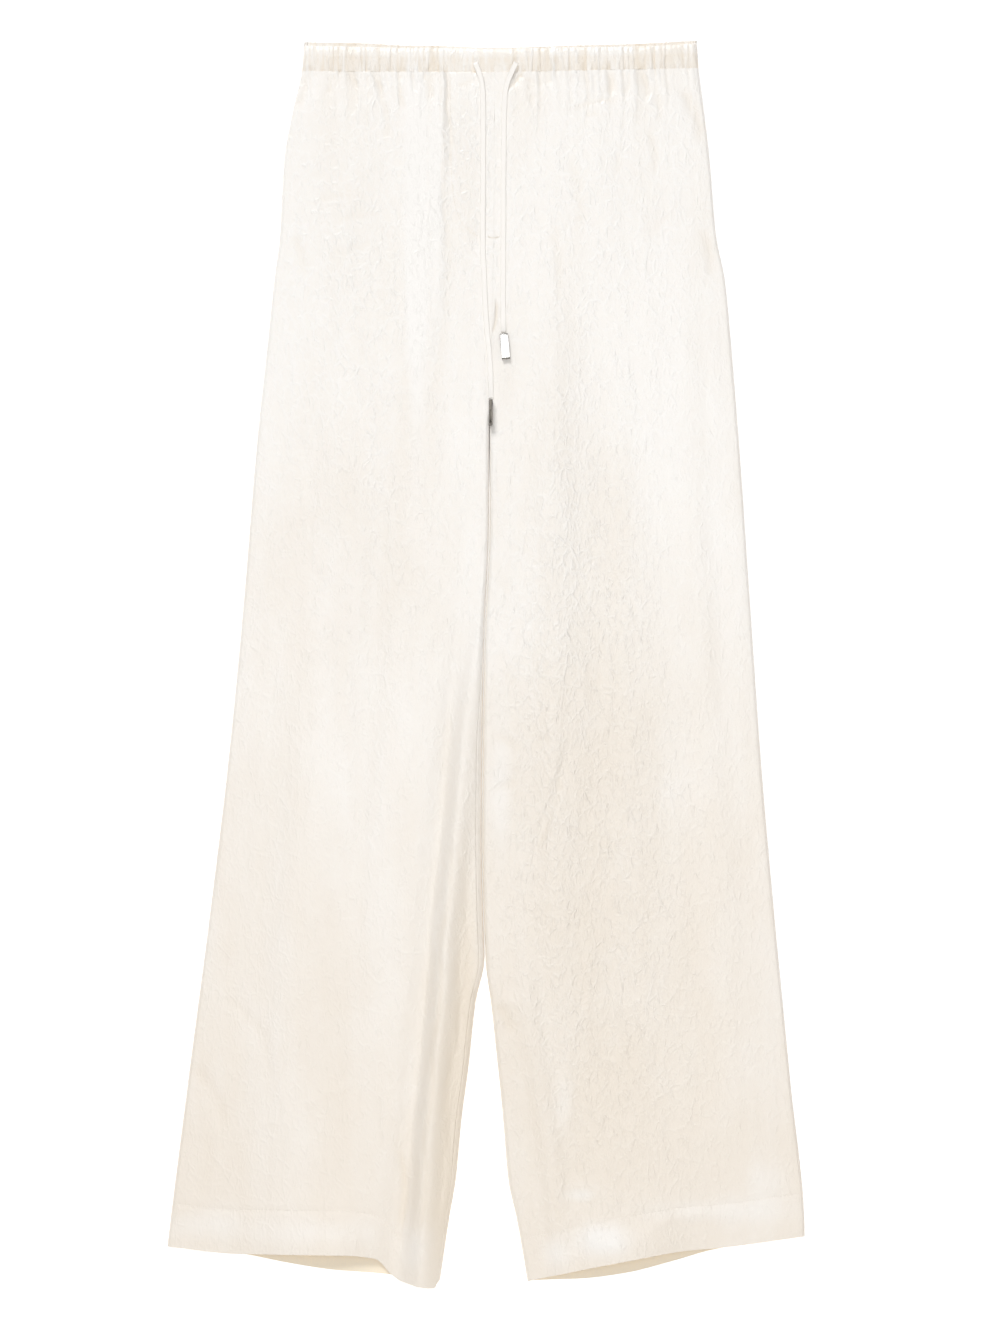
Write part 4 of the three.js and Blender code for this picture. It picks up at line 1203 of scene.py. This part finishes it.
# Drawstrings: the route of each one's middle line
CORD_ROUTES = {
    "right": table(("x", "down", "z"), [
        (-10, 21, 8.8), (-7.6, 27, 8.7), (-4.6, 36, 8.8), (-3, 48, 9.2), (-2.6, 60, 9.6),
        (-2.6, 85, 9.75), (-2.6, 115, 9.5), (-2.8, 150, 9.1), (-3, 172, 8.9), (-3, 188, 8.35),
        (-1.8, 215, 7.6), (-0.6, 245, 7.4), (1, 268, 7.3), (3.2, 290, 7.25), (4.2, 310, 7.2),
        (4.3, 330, 7.15),
    ]),
    "left": table(("x", "down", "z"), [
        (28, 21, 8.9), (24.4, 28, 8.6), (20.5, 37, 8.1), (17.8, 48, 8.2), (16.8, 64, 8.6),
        (16.4, 85, 8.7), (16.2, 110, 8.5), (16, 140, 8.15), (16, 170, 7.85), (15.9, 200, 7.65),
        (15.7, 230, 7.5), (15.8, 250, 7.4), (16.2, 269, 7.35),
    ]),
}


def cord_path(side, count=170):
    """Evenly spaced points on the route, in the frame's metres."""
    route = CORD_ROUTES[side]
    down = np.linspace(route["down"][0], route["down"][-1], 600)
    x, z = read(route, "down", "x", down), read(route, "down", "z", down)
    under = np.max([surface(x + aside, down) for aside in (-2, 0, 2)], axis=0)
    under = under + np.where((down < 181) & (x < 8), 0.45, 0) + CORD_WALL / 2
    under = np.convolve(np.pad(under, 20, mode="edge"), np.ones(41) / 41, mode="valid")
    z = z + smooth(down, 32, 50) * (np.minimum(under, z) - z)
    points = np.stack([x, LENGTH / 2 - down, z], axis=1) * MM
    steps = np.linalg.norm(np.diff(points, axis=0), axis=1)
    run = np.concatenate([[0], np.cumsum(steps)])
    even = np.linspace(0, run[-1], count)
    path = np.stack([np.interp(even, run, points[:, k]) for k in range(3)], axis=1)
    return path, float(run[-1])


def tape_mesh(name, path):
    """A flat folded tape with soft edges along the path, closed at both ends."""
    count = len(path)
    sides = 16
    tangent = np.gradient(path, axis=0)
    tangent /= np.linalg.norm(tangent, axis=1)[:, None]
    across = np.cross(np.array([0, 0, 1.0]), tangent)
    across /= np.linalg.norm(across, axis=1)[:, None]
    up = np.cross(tangent, across)
    run = np.linspace(0, 1, count)
    lean = 0.08 * np.sin(9 * run) + 0.04 * np.sin(23 * run + 1)
    wide = CORD_WIDTH / 2 * (1 - 0.05 * (0.5 + 0.5 * np.sin(31 * run)))
    turn = np.linspace(0, 2 * np.pi, sides, endpoint=False)
    shape_x = np.sign(np.cos(turn)) * np.abs(np.cos(turn)) ** 0.5
    shape_z = np.sign(np.sin(turn)) * np.abs(np.sin(turn)) ** 0.7
    dip = 1 - 0.25 * np.exp(-((shape_x / 0.35) ** 2))
    offsets_x = wide[:, None] * shape_x[None, :]
    offsets_z = (CORD_WALL / 2) * shape_z[None, :] * dip[None, :] + 0 * offsets_x
    offsets_z = offsets_z + 0.12 * lean[:, None] * offsets_x
    rings = (path[:, None, :] + MM * offsets_x[..., None] * across[:, None, :]
             + MM * offsets_z[..., None] * up[:, None, :])
    faces, ids = rings_faces(count, sides)
    faces += [ids[0].tolist(), ids[-1][::-1].tolist()]
    return face_out(link_mesh(name, rings.reshape(-1, 3), faces), by_part=True)


class TROUSERS_OT_drawstrings(bpy.types.Operator):
    """Makes the two flat drawstring ends"""

    bl_idname = "trousers.drawstrings"
    bl_label = "Drawstrings"

    def execute(self, context):
        for side in ("right", "left"):
            path, length = cord_path(side)
            piece = tape_mesh(f"tape_{side}", path)
            finish_piece(piece, material("drawstring_satin"), "drawstring",
                         f"drawstring_{side}")
            tip = bpy.data.objects[f"metal_tip_{side}"]
            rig.cord(piece, exit=path[0], length=length, diameter=CORD_WIDTH * MM,
                    far_end="fitting", stiffness="limp", lay="loose", path=path,
                    with_pieces=[tip])
        return {"FINISHED"}


def deselect_all():
    """Leaves edit mode and selects nothing."""
    if bpy.context.object and bpy.context.object.mode != "OBJECT":
        bpy.ops.object.mode_set(mode="OBJECT")
    bpy.ops.object.select_all(action="DESELECT")


def select_faces(piece, chosen):
    """Selects the faces that the test chooses, for the next edit-mode operator."""
    bpy.ops.object.mode_set(mode="EDIT")
    bpy.ops.mesh.select_mode(type="FACE")
    bpy.ops.mesh.select_all(action="DESELECT")
    bpy.ops.object.mode_set(mode="OBJECT")
    for polygon in piece.data.polygons:
        polygon.select = bool(chosen(polygon))
    bpy.ops.object.mode_set(mode="EDIT")


def put_in_order(piece):
    """Sorts a piece's points and faces, which an extrusion leaves in any order."""
    mesh = piece.data
    points = sorted(mesh.vertices, key=lambda point: tuple(point.co))
    rank = {point.index: place for place, point in enumerate(points)}
    faces = []
    for polygon in mesh.polygons:
        corners = [rank[index] for index in polygon.vertices]
        first = corners.index(min(corners))
        faces.append(corners[first:] + corners[:first])
    places = [tuple(point.co) for point in points]
    mesh.clear_geometry()
    mesh.from_pydata(places, [], sorted(faces))


def apply_modifier(piece, kind, **values):
    """Adds a modifier with these values and applies it."""
    modifier = piece.modifiers.new(kind.title(), kind)
    for name, value in values.items():
        setattr(modifier, name, value)
    bpy.context.view_layer.objects.active = piece
    bpy.ops.object.modifier_apply(modifier=modifier.name)


def make_tip(name, wide, tall, turn, place):
    """A crimped metal end: a long box, sloped to the tape, with a lipped foot."""
    deselect_all()
    bpy.ops.mesh.primitive_cube_add(size=1, location=(0, 0, 0))
    tip = bpy.context.object
    tip.name = name
    tip.scale = (wide * MM, TIP_LONG * MM, tall * MM)
    bpy.ops.object.transform_apply(location=True, rotation=True, scale=True)
    half = TIP_LONG / 2
    broad = 2 if wide > tall else 0
    narrow = 2 - broad
    bpy.ops.object.mode_set(mode="EDIT")
    cuts = (half - 8.5, half - 6, half - 3.5, half - 0.9, -half + 1.7, -half + 1.2, -half + 0.6)
    for cut in cuts:
        bpy.ops.mesh.select_all(action="SELECT")
        bpy.ops.mesh.bisect(plane_co=(0, cut * MM, 0), plane_no=(0, 1, 0))
    bpy.ops.object.mode_set(mode="OBJECT")
    # The end over the tape slopes down to it, and the foot's end is drawn in
    slopes = ((half, 0.674), (half - 0.9, 0.72), (half - 3.5, 0.858), (half - 6, 0.956))
    for level, scale in (*(slopes if broad == 2 else ()), (-half, 0.75)):
        corners = [point for point in tip.data.vertices if abs(point.co.y / MM - level) < 0.01]
        for point in corners:
            point.co[broad] *= scale

    def in_groove(polygon):
        return -half + 1.2 < polygon.center.y / MM < -half + 1.7

    select_faces(tip, in_groove)
    bpy.ops.mesh.extrude_region_shrink_fatten(
        TRANSFORM_OT_shrink_fatten={"value": -0.25 * MM})
    bpy.ops.object.mode_set(mode="OBJECT")
    put_in_order(tip)

    def is_seam(polygon):
        middle = polygon.center.y / MM
        faced = abs(polygon.normal[narrow]) > 0.9
        return faced and -half + 1.8 < middle < half - 8.6

    # The open seam of the folded metal, along both narrow sides
    select_faces(tip, is_seam)
    bpy.ops.mesh.inset(thickness=1.1 * MM, depth=-0.5 * MM, use_individual=True)
    bpy.ops.object.mode_set(mode="OBJECT")
    apply_modifier(tip, "BEVEL", width=0.45 * MM, segments=3, limit_method="ANGLE",
                   angle_limit=math.radians(40))
    # The sides and the foot's end take the darker metal: painted dark reflections
    tip.data.materials.append(None)
    tip.data.materials.append(None)
    for polygon in tip.data.polygons:
        is_side = abs(polygon.normal[narrow]) > 0.5 or polygon.center.y / MM < -half + 1.3
        polygon.material_index = int(is_side)
    deselect_all()
    tip.select_set(True)
    bpy.context.view_layer.objects.active = tip
    tip.rotation_euler = (0, *turn)
    tip.location = [value * MM for value in place]
    bpy.ops.object.transform_apply(location=True, rotation=True, scale=True)
    bpy.ops.object.shade_smooth_by_angle(angle=math.radians(35))
    return tip


class TROUSERS_OT_tips(bpy.types.Operator):
    """Makes the drawstring's two metal ends"""

    bl_idname = "trousers.tips"
    bl_label = "Metal ends"

    def execute(self, context):
        sizes = {
            "right": (TIP_THIN, TIP_BROAD, (0.05, 0.0), (4.3, LENGTH / 2 - 343, 10.1)),
            "left": (TIP_BROAD, TIP_THIN, (0.0, 0.09), (17.4, LENGTH / 2 - 282, 8.15)),
        }
        for side, (wide, tall, turn, place) in sizes.items():
            tip = make_tip(f"metal_tip_{side}", wide, tall, turn, place)
            finish_piece(tip, material("tip_metal"), "tip_metal", f"tip_{side}",
                         reverse=material("tip_side_metal"))
        return {"FINISHED"}


def stitch_template():
    """One stitch: a short fat thread, 1 unit long along X, with round ends."""
    sides = 6
    turn = np.linspace(0, 2 * np.pi, sides, endpoint=False)
    rings = []
    for share, thick in ((-0.5, 0.35), (-0.36, 0.85), (0, 1), (0.36, 0.85), (0.5, 0.35)):
        sag = -0.9 * (2 * share) ** 2
        rings.append(np.stack([np.full(sides, share), thick * np.cos(turn),
                               thick * np.sin(turn) + sag], axis=1))
    points = np.concatenate(rings)
    faces, ids = rings_faces(len(rings), sides)
    return points, faces + [ids[0][::-1].tolist(), ids[-1].tolist()]


def stitches_mesh(name, starts, ends, thick):
    """Joined stitches, each from a start to an end point in (x, down, z) millimetres."""
    template, corners = stitch_template()
    points, faces = [], []
    for start, end in zip(starts, ends):
        a = np.array([start[0], LENGTH / 2 - start[1], start[2]])
        b = np.array([end[0], LENGTH / 2 - end[1], end[2]])
        along = b - a
        length = np.linalg.norm(along)
        along = along / length
        across = np.cross([0, 0, 1.0], along)
        across /= np.linalg.norm(across)
        up = np.cross(along, across)
        middle = (a + b) / 2
        base = len(points) * len(template)
        points.append(middle + template[:, :1] * length * along
                      + template[:, 1:2] * thick * across + template[:, 2:3] * thick * up)
        faces += [[base + i for i in face] for face in corners]
    return face_out(link_mesh(name, np.concatenate(points) * MM, faces), by_part=True)


def stitch_line(x, down, lift, length, gap=0.7):
    """Starts and ends of stitches along a line of points on the fronts' face."""
    run = np.concatenate([[0], np.cumsum(np.hypot(np.diff(x), np.diff(down)))])
    count = int(run[-1] / length)
    starts = np.arange(count) * length + 0.15 * length
    ends = starts + length * gap
    result = []
    for at in (starts, ends):
        px, pd = np.interp(at, run, x), np.interp(at, run, down)
        result.append(np.stack([px, pd, surface(px, pd) + lift], axis=1))
    return result


class TROUSERS_OT_stitching(bpy.types.Operator):
    """Sews the hems, the fly's curve and its bar tack"""

    bl_idname = "trousers.stitching"
    bl_label = "Stitching"

    def execute(self, context):
        length = settings().stitch / MM
        for side in ("right", "left"):
            way = WAYS[side]
            corner = read(OUTLINE, "down", side, 1066)
            inner = -33.0 if side == "right" else 30.0
            x = np.linspace(corner + way * 4, inner - way * 7, 400)
            down = hem_at(side, x) - HEM_TURN
            starts, ends = stitch_line(x, down, 0.12, length)
            piece = stitches_mesh(f"hem_stitches_{side}", starts, ends, 0.2)
            finish_piece(piece, material("sewing_thread"), "satin")
        rows = np.linspace(31, 180, 300)
        edge = read(FLY_EDGE, "down", "left", rows) + 2.2
        starts, ends = stitch_line(edge, rows, 0.14, length)
        tack = np.linspace(0, 1, 26)
        tack_x = 1.6 + 11 * tack
        tack_down = 180.6 + 1.4 * np.sin(np.pi * tack)
        zig = np.stack([tack_x, tack_down + 0.55 * (-1) ** np.arange(26),
                        surface(tack_x, tack_down) + 0.3], axis=1)
        starts = np.concatenate([starts, zig[:-1]])
        ends = np.concatenate([ends, zig[1:]])
        piece = stitches_mesh("fly_stitches", starts, ends, 0.21)
        finish_piece(piece, material("sewing_thread"), "satin")
        return {"FINISHED"}


def floor_glow(tree):
    """The surface's glow, which fades out between the legs towards the crotch."""
    place = add_node(tree, "ShaderNodeTexCoord", (-1000, -200))
    split = add_node(tree, "ShaderNodeSeparateXYZ", (-800, -200))
    tree.links.new(place.outputs["Object"], split.inputs["Vector"])
    aside = math_node(tree, (-600, -100), "ABSOLUTE", split.outputs["X"])
    aside = math_node(tree, (-400, -100), "GREATER_THAN", aside, SLOT_ASIDE)
    below = math_node(tree, (-600, -300), "LESS_THAN", split.outputs["Y"], SLOT_FOOT)
    near = math_node(tree, (-600, -600), "MULTIPLY_ADD", split.outputs["Y"], -20.0, 4.0)
    near = math_node(tree, (-400, -600), "MINIMUM", near, SLOT_GLOW)
    near = math_node(tree, (-250, -600), "MAXIMUM", near, 0)
    below = math_node(tree, (-400, -300), "MAXIMUM", below, near)
    above = math_node(tree, (-600, -450), "GREATER_THAN", split.outputs["Y"], SLOT_TOP)
    clear = math_node(tree, (-200, -250), "ADD", aside, below)
    clear = math_node(tree, (-50, -300), "ADD", clear, above, clamp=True)
    return math_node(tree, (100, -300), "MULTIPLY", clear, GLOW)


class TROUSERS_OT_stage(bpy.types.Operator):
    """Sets the white floor, the soft lights and the camera straight above"""

    bl_idname = "trousers.stage"
    bl_label = "Stage"

    def execute(self, context):
        scene = context.scene
        deselect_all()
        bpy.ops.mesh.primitive_plane_add(size=12, location=(0, 0, 0))
        floor = context.object
        floor.name = "floor"
        floor.location = (0, 0, -0.0006)
        white, tree, shader = new_material("floor_white")
        shader.inputs["Base Color"].default_value = (0.95, 0.95, 0.95, 1)
        shader.inputs["Emission Color"].default_value = (1, 1, 1, 1)
        tree.links.new(floor_glow(tree), shader.inputs["Emission Strength"])
        shader.inputs["Roughness"].default_value = 0.9
        shader.inputs["Specular IOR Level"].default_value = 0.1
        floor.data.materials.append(white)
        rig.stage(floor)

        world = bpy.data.worlds.new("studio")
        world.use_nodes = True
        background = world.node_tree.nodes["Background"]
        background.inputs["Color"].default_value = (1.0, 0.99, 0.975, 1)
        background.inputs["Strength"].default_value = 0.29
        scene.world = world
        add_light("key", (-1.9, 5.6, 4.7), (0, 0.05, 0), (2.4, 2.4), settings().light_power)
        add_light("overhead", (0.1, 0.2, 3.4), (0.1, 0.15, 0), (1.9, 2.2), 28)
        add_light("fill", (0.3, -3.0, 1.2), (0, -0.3, 0), (1.6, 0.8), 42)

        camera_data = bpy.data.cameras.new("camera")
        camera = bpy.data.objects.new("camera", camera_data)
        scene.collection.objects.link(camera)
        camera.location = ((IMAGE_SIZE[0] / 2 - GARMENT_MIDDLE[0]) * PIXEL * MM,
                           (GARMENT_MIDDLE[1] - IMAGE_SIZE[1] / 2) * PIXEL * MM, CAMERA_HEIGHT)
        camera_data.sensor_fit = "VERTICAL"
        camera_data.sensor_height = SENSOR
        # The picture is measured on the cloth, this far over the floor
        lie = 6 * MM
        camera_data.lens = SENSOR * (CAMERA_HEIGHT - lie) / (IMAGE_SIZE[1] * PIXEL * MM)
        camera_data.clip_end = 50
        scene.camera = camera
        scene.view_settings.view_transform = "Standard"
        return {"FINISHED"}


def add_light(name, place, target, size, power):
    """A square or oblong light at a place, turned to a target."""
    data = bpy.data.lights.new(name, "AREA")
    data.shape = "RECTANGLE"
    data.size, data.size_y = size
    data.energy = power
    light = bpy.data.objects.new(name, data)
    bpy.context.scene.collection.objects.link(light)
    light.location = place
    aim = Vector(target) - Vector(place)
    light.rotation_euler = aim.to_track_quat("-Z", "Y").to_euler()
    return light


OPERATORS = (
    TROUSERS_OT_stage,
    TROUSERS_OT_tips,
    TROUSERS_OT_drawstrings,
    TROUSERS_OT_fronts,
    TROUSERS_OT_backs,
    TROUSERS_OT_waistband,
    TROUSERS_OT_fly,
    TROUSERS_OT_stitching,
)


class TROUSERS_PT_panel(bpy.types.Panel):
    """Lists the settings and the steps in the sidebar"""

    bl_idname = "TROUSERS_PT_panel"
    bl_label = "Satin Drawstring Trousers"
    bl_space_type = "VIEW_3D"
    bl_region_type = "UI"
    bl_category = "Trousers"

    def draw(self, context):
        chosen = context.scene.trousers_settings
        for name in TrousersSettings.__annotations__:
            self.layout.prop(chosen, name)
        for operator in OPERATORS:
            self.layout.operator(operator.bl_idname)


CLASSES = (TrousersSettings, *OPERATORS, TROUSERS_PT_panel)


def register():
    """Adds the add-on's classes and settings."""
    for one in CLASSES:
        bpy.utils.register_class(one)
    bpy.types.Scene.trousers_settings = bpy.props.PointerProperty(type=TrousersSettings)


def unregister():
    """Takes the add-on's classes and settings out again."""
    del bpy.types.Scene.trousers_settings
    for one in reversed(CLASSES):
        bpy.utils.unregister_class(one)


def write_sizes():
    """Writes the boxes of the solids and of the visual model."""
    sizes = {
        "cad": [list(corner) for corner in cad_box],
        "visual": [list(corner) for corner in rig.bounds()],
    }
    with open("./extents.json", "w") as file:
        json.dump(sizes, file)


def main():
    """Makes everything in order."""
    register()
    for operator in OPERATORS:
        group, name = operator.bl_idname.split(".")
        getattr(getattr(bpy.ops, group), name)()
    write_sizes()


if __name__ == "__main__":
    main()
